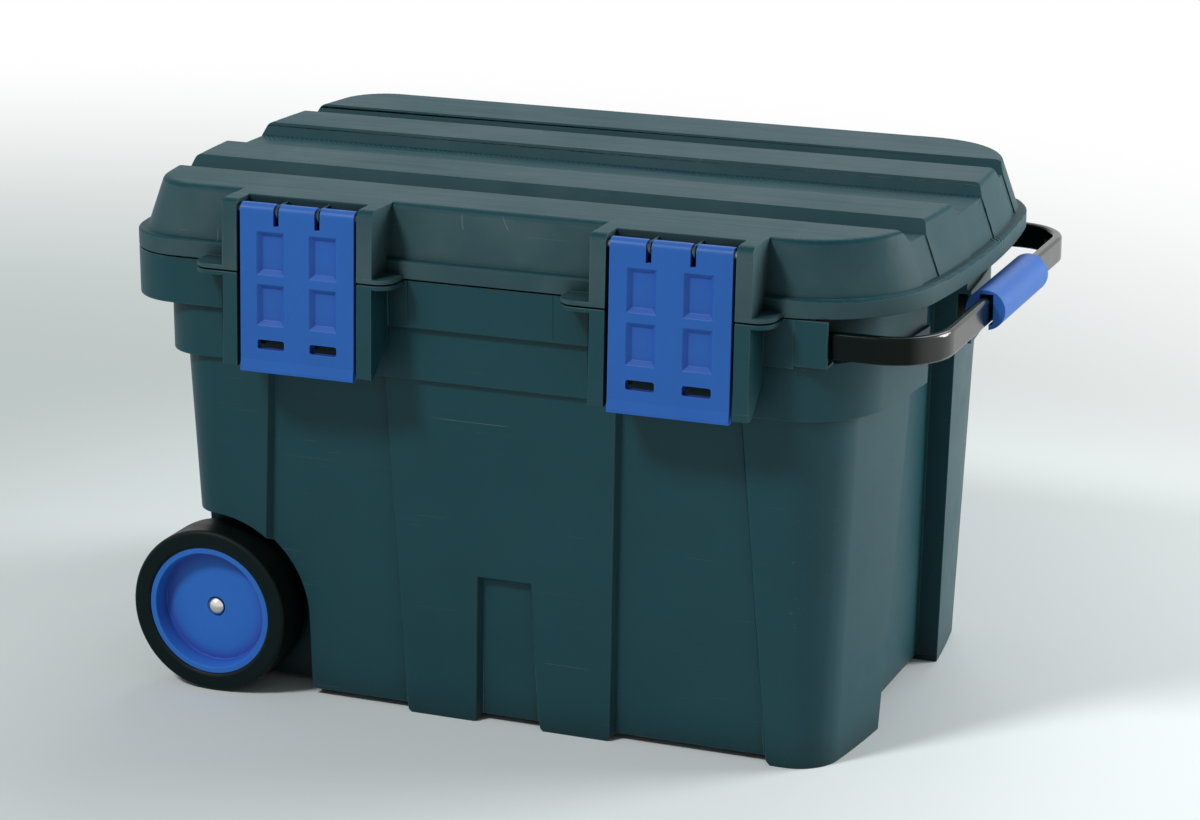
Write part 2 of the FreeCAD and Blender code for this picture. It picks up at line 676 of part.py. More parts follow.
def tower(name, back, low_back, low, high, floor):
    """The block of two uprights and the wall between them, for both latches."""
    lean = "tan(tower_lean)"
    corners = [
        (f"-{back}", low_back),
        (f"-tower_front - (lid_top - {low}) * {lean} + tower_toe", low),
        (f"-tower_front - (lid_top - {low}) * {lean}", low),
    ]
    if high == "lid_top":
        corners += [
            ("-tower_front", "lid_top - tower_round", "tower_round", -1),
            ("-tower_front + tower_round", "lid_top"),
        ]
    else:
        corners.append((f"-tower_front - (lid_top - {high}) * {lean}", high))
    corners.append((f"-{back}", high))
    solids = []
    for side_name, side in SIDES:
        x_middle = f"({side} * latch_spacing)"
        sketch = loose_sketch(f"{name}_{side_name}", YZ, [corners], x=f"{x_middle} - {TOWER_HALF}")
        whole = extrusion(f"{name}_{side_name}", sketch, f"2 * {TOWER_HALF}")
        bay = block(
            f"{name}_bay_{side_name}",
            f"{x_middle} - {BAY_HALF}",
            f"{x_middle} + {BAY_HALF}",
            "-tower_front - 2 * overrun",
            f"-{floor}",
            "tower_bottom - overrun",
            "lid_top + overrun",
        )
        solids.append(cut(f"{name}_uprights_{side_name}", whole, bay))
    return solids


def seam_tabs(name, low, floor):
    """Rounded tabs at the seam, beside each pair of uprights and level with their front."""
    left = f"({TOWER_HALF} + tab_left)"
    right = f"({TOWER_HALF} + tab_right)"
    solids = []
    for side_name, side in SIDES:
        x_middle = f"({side} * latch_spacing)"
        corners = [
            (f"{x_middle} - {left}", "-tab_front + tab_corner", "tab_corner", 1),
            (f"{x_middle} - {left} + tab_corner", "-tab_front"),
            (f"{x_middle} + {right} - tab_corner", "-tab_front", "tab_corner", 1),
            (f"{x_middle} + {right}", "-tab_front + tab_corner"),
            (f"{x_middle} + {right}", "-rim_half_depth + overlap"),
            (f"{x_middle} - {left}", "-rim_half_depth + overlap"),
        ]
        sketch = loose_sketch(f"{name}_{side_name}", XY, [corners], z=low)
        plate = extrusion(f"{name}_{side_name}", sketch, "tab_thick")
        bay = block(
            f"{name}_bay_{side_name}",
            f"{x_middle} - {BAY_HALF}",
            f"{x_middle} + {BAY_HALF}",
            "-tab_front - overrun",
            f"-{floor}",
            f"{low} - overlap",
            f"{low} + tab_thick + overlap",
        )
        solids.append(cut(f"{name}_plate_{side_name}", plate, bay))
    return solids


def hinge_knuckles(name, owner):
    """Knuckles on the hinge line: the tub's outer pairs or the lid's middle ones."""
    solids = []
    for side_name, side in SIDES:
        x_middle = f"{side} * latch_spacing"
        inner = "(lid_knuckle_half + knuckle_gap)"
        outer = f"({inner} + tub_knuckle_length)"
        spans = [(f"-{outer}", f"-{inner}"), (inner, outer)]
        low, high = "seam_height - knuckle_drop", "seam_height - lid_gap"
        wall = "rim_half_depth"
        if owner == "lid":
            spans = [("-lid_knuckle_half", "lid_knuckle_half")]
            low, high = LID_BOTTOM, "seam_height + knuckle_radius"
            wall = "skirt_half_depth"
        for index, (x_low, x_high) in enumerate(spans):
            tag = f"{name}_{side_name}_{index}"
            x_low, x_high = f"{x_middle} + {x_low}", f"{x_middle} + {x_high}"
            span = (x_low, x_high)
            solids.append(rod_x(tag, "knuckle_radius", *span, "hinge_back", "seam_height"))
            solids.append(block(tag + "_arm", *span, f"{wall} - overlap", "hinge_back", low, high))
    return solids


def hinge_bores(name, radius):
    reach = "(lid_knuckle_half + knuckle_gap + tub_knuckle_length + overlap)"
    bores = []
    for side_name, side in SIDES:
        x_middle = f"{side} * latch_spacing"
        ends = (f"{x_middle} - {reach}", f"{x_middle} + {reach}")
        bores.append(rod_x(f"{name}_{side_name}", radius, *ends, "hinge_back", "seam_height"))
    return bores


def gutter_ribs():
    """Cross ribs that stiffen the empty gutter round the wheel end."""
    count = 5
    ribs = []
    for index in range(count):
        middle = f"({index - (count - 1) / 2} * gutter_rib_pitch)"
        ribs.append(
            block(
                f"gutter_rib_{index}",
                "-rim_half_length - wheel_end_extra",
                "-gutter_half_length + 2 * overrun",
                f"{middle} - skin / 2",
                f"{middle} + skin / 2",
                "rim_bottom - skin / 2",
                "seam_height - skin",
            )
        )
    return ribs


def make_tub():
    walls = plan_prism(
        "tub_wall",
        "foot_half_length",
        "foot_half_depth",
        "foot_corner",
        "0",
        "rim_bottom - skin / 2",
        "draft",
    )
    front_panels = side_panel_tool("front_panels", "0")
    panels = fuse(
        "side_panels",
        front_panels,
        mirror("back_panels", front_panels, Vector(0, 1, 0)),
        wheel_end_panel("end_panel", "0"),
    )
    panelled = cut("panelled_wall", walls, panels)
    collar = cut(
        "collar",
        plan_prism(
            "collar_outside",
            "collar_half_length",
            "collar_half_depth",
            "collar_corner",
            "collar_bottom",
            "rim_bottom",
        ),
        plan_prism(
            "collar_inside",
            "(collar_half_length - skin)",
            "(collar_half_depth - 1.6 * skin)",
            "(collar_corner - skin)",
            "collar_bottom - overlap",
            "rim_bottom - skin",
        ),
    )
    rim = plan_prism(
        "rim",
        "rim_half_length",
        "rim_half_depth",
        "rim_corner",
        "rim_bottom - gutter_floor",
        "seam_height",
    )
    inner_wall = plan_prism(
        "gutter_wall",
        "gutter_half_length",
        "gutter_half_depth",
        "gutter_corner",
        "rim_bottom - 2 * skin",
        ABOVE,
    )
    gutter = cut(
        "gutter",
        plan_prism(
            "gutter_outside",
            "(rim_half_length - skin)",
            "(rim_half_depth - skin)",
            "(rim_corner - skin)",
            "rim_bottom",
            ABOVE,
        ),
        fuse("kept_in_gutter", inner_wall, *gutter_ribs()),
    )
    tower_back = "(collar_half_depth - overlap)"
    tower_slope = "tower_bottom + tower_flare"
    towers = tower(
        "tub_tower", tower_back, tower_slope, "tower_bottom", "seam_height", "bay_floor"
    )
    handle_space = cut(
        "handle_space",
        block(
            "handle_block",
            "guide_start",
            "rim_half_length + overrun",
            "-rim_half_depth - overrun",
            "rim_half_depth + overrun",
            "rim_bottom - skin - overlap",
            ABOVE,
        ),
        fuse(
            "kept_at_handle",
            inner_wall,
            plan_prism(
                "collar_top",
                "collar_half_length",
                "collar_half_depth",
                "collar_corner",
                "collar_bottom",
                "rim_bottom",
            ),
        ),
    )
    outside = cut(
        "tub_rim",
        fuse("tub_outside", panelled, collar, rim, *towers),
        fuse("rim_spaces", gutter, handle_space),
    )
    dressed = fuse(
        "tub_dressed",
        outside,
        *seam_tabs("tub_tab", "seam_height - tab_thick", "bay_floor"),
        *hinge_knuckles("tub_knuckle", "tub"),
    )
    inside = cut(
        "tub_inside",
        fuse(
            "tub_hollow",
            plan_loft(
                "lower_hollow",
                "foot_height + wall",
                ("(foot_half_length - wall)", "(foot_half_depth - wall)", "(foot_corner - wall)"),
                "rim_bottom + overlap / 10",
                (
                    "(foot_half_length - wall + rim_bottom * tan(draft))",
                    "(gutter_half_depth - wall)",
                    "(foot_corner - wall + 2 * skin)",
                ),
            ),
            plan_prism(
                "upper_hollow",
                "(gutter_half_length - skin)",
                "(gutter_half_depth - skin)",
                "(gutter_corner - skin)",
                "rim_bottom",
                ABOVE,
            ),
        ),
        fuse("inside_bulges", *inside_bulges()),
    )
    spaces = [
        inside,
        finger_bay("grip_bay", "0"),
        arch_tool("arch", "0", "arch_floor"),
        tunnel_tool("tunnel", "0", "(arch_floor - arch_wall)"),
        foot_relief(),
        rod_y(
            "axle_bore",
            "axle_radius + axle_play",
            "-arch_floor - overlap",
            "arch_floor + overlap",
            "-wheel_centre",
            "wheel_radius",
        ),
        *tower_hollows(
            "tub_tower_hollow",
            "tower_bottom - overlap",
            "seam_height - wall",
            "bay_floor",
            "rim_half_depth",
        ),
        *slot_wells(),
        *hinge_bores("tub_hinge_bore", "hinge_pin_radius + axle_play"),
    ]
    shell = cut("tub_shell", dressed, fuse("tub_spaces", *spaces))
    catches = []
    for side_name, side in SIDES:
        x_middle = f"{side} * latch_spacing"
        catches.append(
            block(
                f"catch_{side_name}",
                f"{x_middle} - catch_half_width",
                f"{x_middle} + catch_half_width",
                "-bay_floor - catch_reach",
                "-bay_floor + wall / 2",
                "catch_height",
                "catch_height + catch_thick",
            )
        )
    node(fuse("tub", shell, *catches), "base_tub")


def inside_bulges():
    """What the inside has to go round: the panels, the finger bay, the arches, the axle."""
    front = side_panel_tool("front_bulges", "wall")
    return [
        front,
        mirror("back_bulges", front, Vector(0, 1, 0)),
        wheel_end_panel("end_bulge", "wall"),
        finger_bay("bay_bulge", "wall"),
        arch_tool("arch_bulge", "wall", "(arch_floor - arch_wall)"),
        tunnel_tool("tunnel_bulge", "wall", "(arch_floor - arch_wall + overlap)"),
        block(
            "tunnel_fill",
            "-foot_half_length - overrun",
            "-wheel_centre",
            "-arch_floor + arch_wall - overlap",
            "arch_floor - arch_wall + overlap",
            "0",
            "wheel_radius + tunnel_radius + wall",
        ),
    ]


def slot_wells():
    """Openings in the wall behind the latches' slots, into the hollow behind that wall."""
    wells = []
    for side_name, side in SIDES:
        for way_name, way in SIDES:
            middle = f"{side} * latch_spacing + {way} * window_offset"
            top = "catch_height - slot_well_drop"
            wells.append(
                block(
                    f"slot_well_{side_name}_{way_name}",
                    f"{middle} - slot_half_width - slot_well_side",
                    f"{middle} + slot_half_width + slot_well_side",
                    "-bay_floor - overlap",
                    "-bay_floor + wall + overlap",
                    f"{top} - slot_well_height",
                    top,
                )
            )
    return wells


def tower_hollows(name, low, high, floor, back):
    """Hollows behind the bay walls, so that they are no thicker than the rest."""
    solids = []
    for side_name, side in SIDES:
        x_middle = f"{side} * latch_spacing"
        solids.append(
            block(
                f"{name}_{side_name}",
                f"{x_middle} - {BAY_HALF} + wall",
                f"{x_middle} + {BAY_HALF} - wall",
                f"-{floor} + wall",
                f"-{back}",
                low,
                high,
            )
        )
    return solids


# ---- the lid -----------------------------------------------------------------------------


VALLEYS = (
    ("front_valley_near", "front_valley_far"),
    ("-wide_valley_half", "wide_valley_half"),
    ("back_valley_near", "back_valley_far"),
)


def valley_tool(name, grow):
    """The long valleys between the lid's ridges."""
    outlines = []
    for near, far in VALLEYS:
        outlines.append(
            [
                (f"{near} - {grow}", "lid_top + overlap / 100"),
                (f"{near} + valley_slope - {grow}", f"lid_top - valley_depth - {grow}"),
                (f"{far} - valley_slope + {grow}", f"lid_top - valley_depth - {grow}"),
                (f"{far} + {grow}", "lid_top + overlap / 100"),
            ]
        )
    sketch = loose_sketch(name, YZ, outlines, x="-skirt_half_length - overrun")
    return extrusion(name, sketch, "2 * (skirt_half_length + overrun)")


def crown_solid(name, low, high, inset, shorter="0"):
    """The leaning block of the lid above its ledge, or the same set in by a thickness."""
    return plan_loft(
        name,
        low,
        (
            f"(crown_half_length - {inset} - {shorter})",
            f"(crown_half_depth - {inset})",
            f"(crown_corner - {inset})",
        ),
        high,
        (
            f"(crown_half_length - {inset} - {shorter} - crown_lean_end)",
            f"(crown_half_depth - {inset} - crown_lean_side)",
            f"(crown_corner - {inset} - crown_lean_side)",
        ),
    )


def run_outs():
    """Shallow flutes down both ends of the lid, one below each valley."""
    strips = []
    for index, (near, far) in enumerate(VALLEYS):
        strips.append(
            block(
                f"run_out_{index}",
                "-skirt_half_length - overrun",
                "skirt_half_length + overrun",
                f"{near} + valley_slope",
                f"{far} - valley_slope",
                "ledge_height",
                "lid_top - valley_depth + overlap",
            )
        )
    core = crown_solid("crown_core", "ledge_height - overlap", "lid_top", "0", "run_out_depth")
    return cut("run_outs", fuse("run_out_strips", *strips), core)


def rounded_top(name, solid, radius):
    """The same solid with the outline of its top face rounded."""
    DOC.recompute()
    top = solid.Shape.BoundBox.ZMax
    size = value(radius)
    round_off = DOC.addObject("Part::Fillet", name)
    round_off.Base = solid
    round_off.Edges = [
        (index, size, size)
        for index, edge in enumerate(solid.Shape.Edges, start=1)
        if all(abs(vertex.Z - top) < 0.01 for vertex in edge.Vertexes)
    ]
    return round_off


def pin_ribs():
    """Ribs that stand in the notches of the latches and go round their pins."""
    solids = []
    for side_name, side in SIDES:
        for way_name, way in SIDES:
            name = f"pin_rib_{side_name}_{way_name}"
            middle = f"{side} * latch_spacing + {way} * notch_offset"
            span = (f"{middle} - pin_rib_thick / 2", f"{middle} + pin_rib_thick / 2")
            at = ("-latch_pin_forward", "latch_pin_height")
            eye = rod_x(f"{name}_eye", "pin_rib_radius", *span, *at)
            arm = block(
                f"{name}_arm",
                *span,
                "-latch_pin_forward",
                "-lid_bay_floor + overlap",
                "latch_pin_height - pin_rib_foot",
                "latch_pin_height + pin_rib_radius",
            )
            solids += [eye, arm]
    return solids


def make_lid():
    skirt = plan_prism(
        "skirt", "skirt_half_length", "skirt_half_depth", "skirt_corner", LID_BOTTOM, "ledge_height"
    )
    crown = crown_solid("crown", "ledge_height - overlap", "lid_top", "0")
    outside = fuse(
        "lid_outside",
        rounded_top("skirt_round", skirt, "skirt_round"),
        rounded_top("crown_round", crown, "crown_round"),
        *tower(
            "lid_tower",
            "(crown_half_depth - overrun)",
            LID_BOTTOM,
            LID_BOTTOM,
            "lid_top",
            "lid_bay_floor",
        ),
        *pin_ribs(),
        *seam_tabs("lid_tab", LID_BOTTOM, "lid_bay_floor"),
        *hinge_knuckles("lid_knuckle", "lid"),
    )
    skirt_inside = plan_prism(
        "skirt_inside",
        "(skirt_half_length - wall)",
        "(skirt_half_depth - wall)",
        "(skirt_corner - wall)",
        "seam_height - overlap",
        "ledge_height - wall",
    )
    crown_low = "ledge_height - wall - overlap"
    crown_inside = crown_solid("crown_inside", crown_low, "lid_top - wall", "wall")
    inside = cut(
        "lid_inside",
        fuse(
            "lid_hollow",
            skirt_inside,
            crown_inside,
            *tower_hollows(
                "lid_tower_hollow",
                "seam_height - overlap",
                "lid_top - wall",
                "lid_bay_floor",
                "(crown_half_depth - overrun)",
            ),
        ),
        valley_tool("valley_floor", "wall"),
    )
    pin_reach = f"({BAY_HALF} + latch_pin_seat + running_gap)"
    pin_bores = []
    for side_name, side in SIDES:
        x_middle = f"{side} * latch_spacing"
        ends = (f"{x_middle} - {pin_reach}", f"{x_middle} + {pin_reach}")
        at = ("-latch_pin_forward", "latch_pin_height")
        pin_bores.append(
            rod_x(f"latch_pin_bore_{side_name}", "latch_pin_radius + axle_play", *ends, *at)
        )
    spaces = [
        inside,
        valley_tool("valleys", "0"),
        run_outs(),
        *pin_bores,
        *hinge_bores("lid_hinge_bore", "hinge_pin_radius + axle_play"),
    ]
    node(cut("lid", outside, fuse("lid_spaces", *spaces)), "lid_shell")


# ---- latches and pins --------------------------------------------------------------------


def make_latch(side_name, side):
    """A latch plate, drawn hanging straight down from its pin, which is the body's origin."""
    body = DOC.addObject("PartDesign::Body", f"latch_{side_name}_body")
    face = "(latch_roll - latch_thick)"
    profile = body_sketch(body, "profile", "YZ_Plane")
    hook_top = "((latch_pin_height - catch_height) / cos(tower_lean) + hook_gap)"
    hook_reach = (
        "(latch_pin_forward - bay_floor - catch_reach + hook_overlap"
        " + (latch_pin_height - catch_height) * tan(tower_lean))"
    )
    outline(
        profile,
        [
            ("-latch_roll", "0"),
            ("-latch_roll", "-latch_length + latch_lip_start"),
            ("-latch_roll - latch_lip", "-latch_length + latch_lip_foot"),
            ("-latch_roll - latch_lip", "-latch_length"),
            (f"-{face}", "-latch_length"),
            (f"-{face}", "0"),
        ],
    )
    pad(body, profile, "2 * latch_half_width", True)
    roll = body_sketch(body, "roll", "YZ_Plane")
    ring(roll, "0", "0", "latch_roll")
    pad(body, roll, "2 * latch_half_width", True)
    hook = body_sketch(body, "hook", "YZ_Plane")
    outline(
        hook,
        [
            (f"-{face} - overlap", f"-{hook_top}"),
            (f"-{face} - overlap", f"-{hook_top} - 2 * hook_thick"),
            (f"-{face}", f"-{hook_top} - 2 * hook_thick"),
            (hook_reach, f"-{hook_top} - hook_thick / 2"),
            (hook_reach, f"-{hook_top}"),
        ],
    )
    pad(body, hook, "2 * catch_half_width", True)
    bore = body_sketch(body, "bore", "YZ_Plane")
    ring(bore, "0", "0", "latch_pin_radius + axle_play")
    pocket(body, bore, "2 * (latch_half_width + overlap)", True)
    notches = body_sketch(body, "notches", "XZ_Plane")
    slots = body_sketch(body, "slots", "XZ_Plane")
    windows = body_sketch(body, "windows", "XZ_Plane", "latch_roll")
    for way in (-1, 1):
        middle = f"({way} * notch_offset)"
        low, high = f"{middle} - notch_width / 2", f"{middle} + notch_width / 2"
        outline(notches, box_corners(low, high, "-notch_drop", "latch_roll + overlap"))
        middle = f"({way} * window_offset)"
        outline(slots, slot_corners(middle))
        for top, foot in (
            ("upper_window_top", "upper_window_foot"),
            ("lower_window_top", "lower_window_foot"),
        ):
            low, high = f"{middle} - window_half_width", f"{middle} + window_half_width"
            outline(windows, box_corners(low, high, f"-{foot}", f"-{top}"))
    pocket(body, notches, "2 * (latch_roll + overlap)", True)
    pocket(body, slots, "2 * (latch_roll + overlap)", True)
    pocket(body, windows, "window_depth", taper=-WINDOW_SLOPE)
    lean = Rotation(Vector(-1, 0, 0), value("tower_lean"))
    node(
        body,
        f"latch_{side_name}",
        f"{side} * latch_spacing",
        "-latch_pin_forward",
        "latch_pin_height",
        lean,
    )
    bind(body, Placement__Rotation__Angle="tower_lean")


def slot_corners(middle):
    """A rounded slot through the latch, about one middle."""
    left, right = f"({middle} - slot_half_width)", f"({middle} + slot_half_width)"
    low, high = "(-slot_drop - slot_half_height)", "(-slot_drop + slot_half_height)"
    return [
        (f"{left} + slot_corner", low),
        (f"{right} - slot_corner", low, "slot_corner", 1),
        (right, f"{low} + slot_corner"),
        (right, f"{high} - slot_corner", "slot_corner", 1),
        (f"{right} - slot_corner", high),
        (f"{left} + slot_corner", high, "slot_corner", 1),
        (left, f"{high} - slot_corner"),
        (left, f"{low} + slot_corner", "slot_corner", 1),
    ]


def make_pins(side_name, side):
    x_middle = f"{side} * latch_spacing"
    reach = f"({BAY_HALF} + latch_pin_seat)"
    body = DOC.addObject("PartDesign::Body", f"latch_pin_{side_name}_body")
    section = body_sketch(body, "section", "YZ_Plane")
    ring(section, "0", "0", "latch_pin_radius")
    pad(body, section, f"2 * {reach}", True)
    node(body, f"latch_pin_{side_name}", x_middle, "-latch_pin_forward", "latch_pin_height")
    reach = "(lid_knuckle_half + knuckle_gap + tub_knuckle_length)"
    body = DOC.addObject("PartDesign::Body", f"hinge_pin_{side_name}_body")
    section = body_sketch(body, "section", "YZ_Plane")
    ring(section, "0", "0", "hinge_pin_radius")
    pad(body, section, f"2 * {reach}", True)
    node(body, f"hinge_pin_{side_name}", x_middle, "hinge_back", "seam_height")


# ---- wheels ------------------------------------------------------------------------------


def turned(label, end, corners):
    """A turned piece on the axle line. The sketch's y is the distance from the middle of
    the box, so the front one is the same body turned round."""
    body = DOC.addObject("PartDesign::Body", label + "_body")
    profile = body_sketch(body, "profile", "XY_Plane")
    outline(profile, corners)
    revolution(body, profile)
    turn = Rotation(Vector(0, 0, 1), 0 if end > 0 else 180)
    return node(body, label, "-wheel_centre", "0", "wheel_radius", turn)


def make_wheel(end_name, end):
    face = "wheel_face"
    bore = "(axle_radius + axle_play)"
    inner = f"({face} - tyre_width)"
    web_out = f"({face} - hub_dish)"
    web_in = f"({web_out} - hub_web)"
    boss_in = "(arch_floor + running_gap + washer_thick)"
    inside = "(hub_radius - hub_rim)"
    turned(
        f"wheel_hub_{end_name}",
        end,
        [
            (bore, boss_in),
            ("boss_radius", boss_in),
            ("boss_radius", web_in),
            (f"{inside} - hub_slope", web_in),
            (inside, f"{inner} + hub_inset"),
            ("hub_radius", f"{inner} + hub_inset"),
            ("hub_radius", f"{face} - hub_inset"),
            (inside, f"{face} - hub_inset"),
            (f"{inside} - hub_slope", web_out),
            ("cap_pocket_radius", web_out),
            ("cap_pocket_radius", f"{web_out} - cap_pocket_depth"),
            (bore, f"{web_out} - cap_pocket_depth"),
        ],
    )
    turned(
        f"tyre_{end_name}",
        end,
        [
            ("hub_radius", inner),
            ("wheel_radius - tyre_round", inner, "tyre_round", 1),
            ("wheel_radius", f"{inner} + tyre_round"),
            ("wheel_radius", f"{face} - tyre_round", "tyre_round", 1),
            ("wheel_radius - tyre_round", face),
            ("hub_radius + tyre_bead", face),
            ("hub_radius", f"{face} - tyre_bead / 2"),
        ],
    )
    cap_low = f"({web_out} - cap_pocket_depth + running_gap)"
    cap_high = f"({web_out} + cap_skirt)"
    dome = "((cap_radius ^ 2 + cap_dome ^ 2) / (2 * cap_dome))"
    turned(
        f"axle_cap_{end_name}",
        end,
        [
            ("axle_radius", cap_low),
            ("cap_radius", cap_low),
            ("cap_radius", cap_high, dome, 1),
            ("0", f"{cap_high} + cap_dome"),
            ("0", web_out),
            ("axle_radius", web_out),
        ],
    )
    turned(
        f"wheel_washer_{end_name}",
        end,
        [
            (bore, "arch_floor"),
            ("washer_radius", "arch_floor"),
            ("washer_radius", f"{boss_in} - running_gap"),
            (bore, f"{boss_in} - running_gap"),
        ],
    )


def make_axle():
    body = DOC.addObject("PartDesign::Body", "axle_body")
    section = body_sketch(body, "section", "XZ_Plane")
    ring(section, "0", "0", "axle_radius")
    pad(body, section, "2 * (wheel_face - hub_dish)", True)
    node(body, "axle", "-wheel_centre", "0", "wheel_radius")


# ---- the handle --------------------------------------------------------------------------


def make_handle_bar():
    """A U of rectangular tube: two arms, two wide corners and the cross bar."""
    body = DOC.addObject("PartDesign::Body", "handle_bar_body")
    line = "(bar_half_depth - bar_thick / 2)"
    reach = "(bar_reach - bar_thick / 2)"
    corner = "(bar_corner - bar_thick / 2)"
    path = body_sketch(body, "path", "XY_Plane", "bar_bottom + bar_height / 2")
    open_path(
        path,
        [
            ("bar_inner_end", f"-{line}"),
            (f"{reach} - {corner}", f"-{line}", corner, 1),
            (reach, f"-{line} + {corner}"),
            (reach, f"{line} - {corner}", corner, 1),
            (f"{reach} - {corner}", line),
            ("bar_inner_end", line),
        ],
    )
    section = body_sketch(body, "section", "YZ_Plane", "bar_inner_end")
    middle = "(bar_bottom + bar_height / 2)"
    outline(section, rounded_corners(f"-{line}", middle, "bar_thick", "bar_height", "bar_round"))
    outline(
        section,
        rounded_corners(
            f"-{line}",
            middle,
            "(bar_thick - 2 * bar_wall)",
            "(bar_height - 2 * bar_wall)",
            "(bar_round - bar_wall)",
        ),
    )
    sweep = body.newObject("PartDesign::AdditivePipe", "handle_bar_sweep")
    sweep.Profile = section
    sweep.Spine = (path, [])
    holes = body_sketch(body, "rivet_holes", "XZ_Plane")
    ring(holes, RIVET_X, middle, "rivet_radius + axle_play")
    pocket(body, holes, "2 * (bar_half_depth + overrun)", True)
    node(body, "handle_bar")


RIVET_X = "(bar_inner_end + (shoe_length - shoe_beyond) / 2)"


def open_path(sketch, corners):
    """The same as an outline, left open."""
    points = [Vector(value(corner[0]), value(corner[1]), 0) for corner in corners]
    last = None
    for index, corner in enumerate(corners[:-1]):
        start, finish = points[index], points[index + 1]
        if len(corner) == 2:
            edge = sketch.addGeometry(Part.LineSegment(start, finish), False)
        else:
            radius = value(corner[2])
            chord = finish - start
            side = Vector(-chord.y, chord.x, 0).normalize()
            rise = math.sqrt(radius**2 - (chord.Length / 2) ** 2)
            centre = (start + finish) * 0.5 + side * rise
            angles = [math.atan2(p.y - centre.y, p.x - centre.x) for p in (start, finish)]
            circle = Part.Circle(centre, Vector(0, 0, 1), radius)
            edge = sketch.addGeometry(Part.ArcOfCircle(circle, *angles), False)
            constrain(sketch, "Radius", edge, to=corner[2])
        constrain(sketch, "DistanceX", -1, 1, edge, 1, to=corner[0])
        constrain(sketch, "DistanceY", -1, 1, edge, 1, to=corner[1])
        if last is not None:
            sketch.addConstraint(Sketcher.Constraint("Coincident", last, 2, edge, 1))
        last = edge
    constrain(sketch, "DistanceX", -1, 1, last, 2, to=corners[-1][0])
    constrain(sketch, "DistanceY", -1, 1, last, 2, to=corners[-1][1])


def rounded_corners(across, up, width, height, radius):
    """A rounded rectangle about a middle."""
    left, right = f"({across} - {width} / 2)", f"({across} + {width} / 2)"
    low, high = f"({up} - {height} / 2)", f"({up} + {height} / 2)"
    return [
        (f"{left} + {radius}", low),
        (f"{right} - {radius}", low, radius, 1),
        (right, f"{low} + {radius}"),
        (right, f"{high} - {radius}", radius, 1),
        (f"{right} - {radius}", high),
        (f"{left} + {radius}", high, radius, 1),
        (left, f"{high} - {radius}"),
        (left, f"{low} + {radius}", radius, 1),
    ]


def make_grip():
    """A sleeve pushed over the cross bar from above, with a slot along its underside."""
    body = DOC.addObject("PartDesign::Body", "handle_grip_body")
    across = "(bar_reach - bar_thick / 2)"
    middle = "(bar_bottom + bar_height / 2)"
    section = body_sketch(body, "section", "XZ_Plane")
    ring(section, across, middle, "grip_radius")
    pad(body, section, "2 * grip_half_length", True)
    seat = body_sketch(body, "seat", "XZ_Plane")
    inside = f"{across} - bar_thick / 2 - grip_clearance"
    outside = f"{across} + bar_thick / 2 + grip_slack"
    low, high = "bar_bottom - grip_clearance", "bar_bottom + bar_height + grip_slack"
    outline(seat, box_corners(inside, outside, low, high))
    pocket(body, seat, "2 * (grip_half_length + overlap)", True)
    mouth = body_sketch(body, "mouth", "XZ_Plane")
    low, high = f"{middle} - grip_radius - overlap", middle
    half = "grip_mouth / 2"
    outline(mouth, box_corners(f"{across} - {half}", f"{across} + {half}", low, high))
    pocket(body, mouth, "2 * (grip_half_length + overlap)", True)
    node(body, "handle_grip", "0", "grip_offset")


def side_block(name, end, x_low, x_high, near, far, low, high):
    """A block on one long side, between two distances from the middle."""
    y_low, y_high = (near, far) if end > 0 else (f"-({far})", f"-({near})")
    return block(name, x_low, x_high, y_low, y_high, low, high)


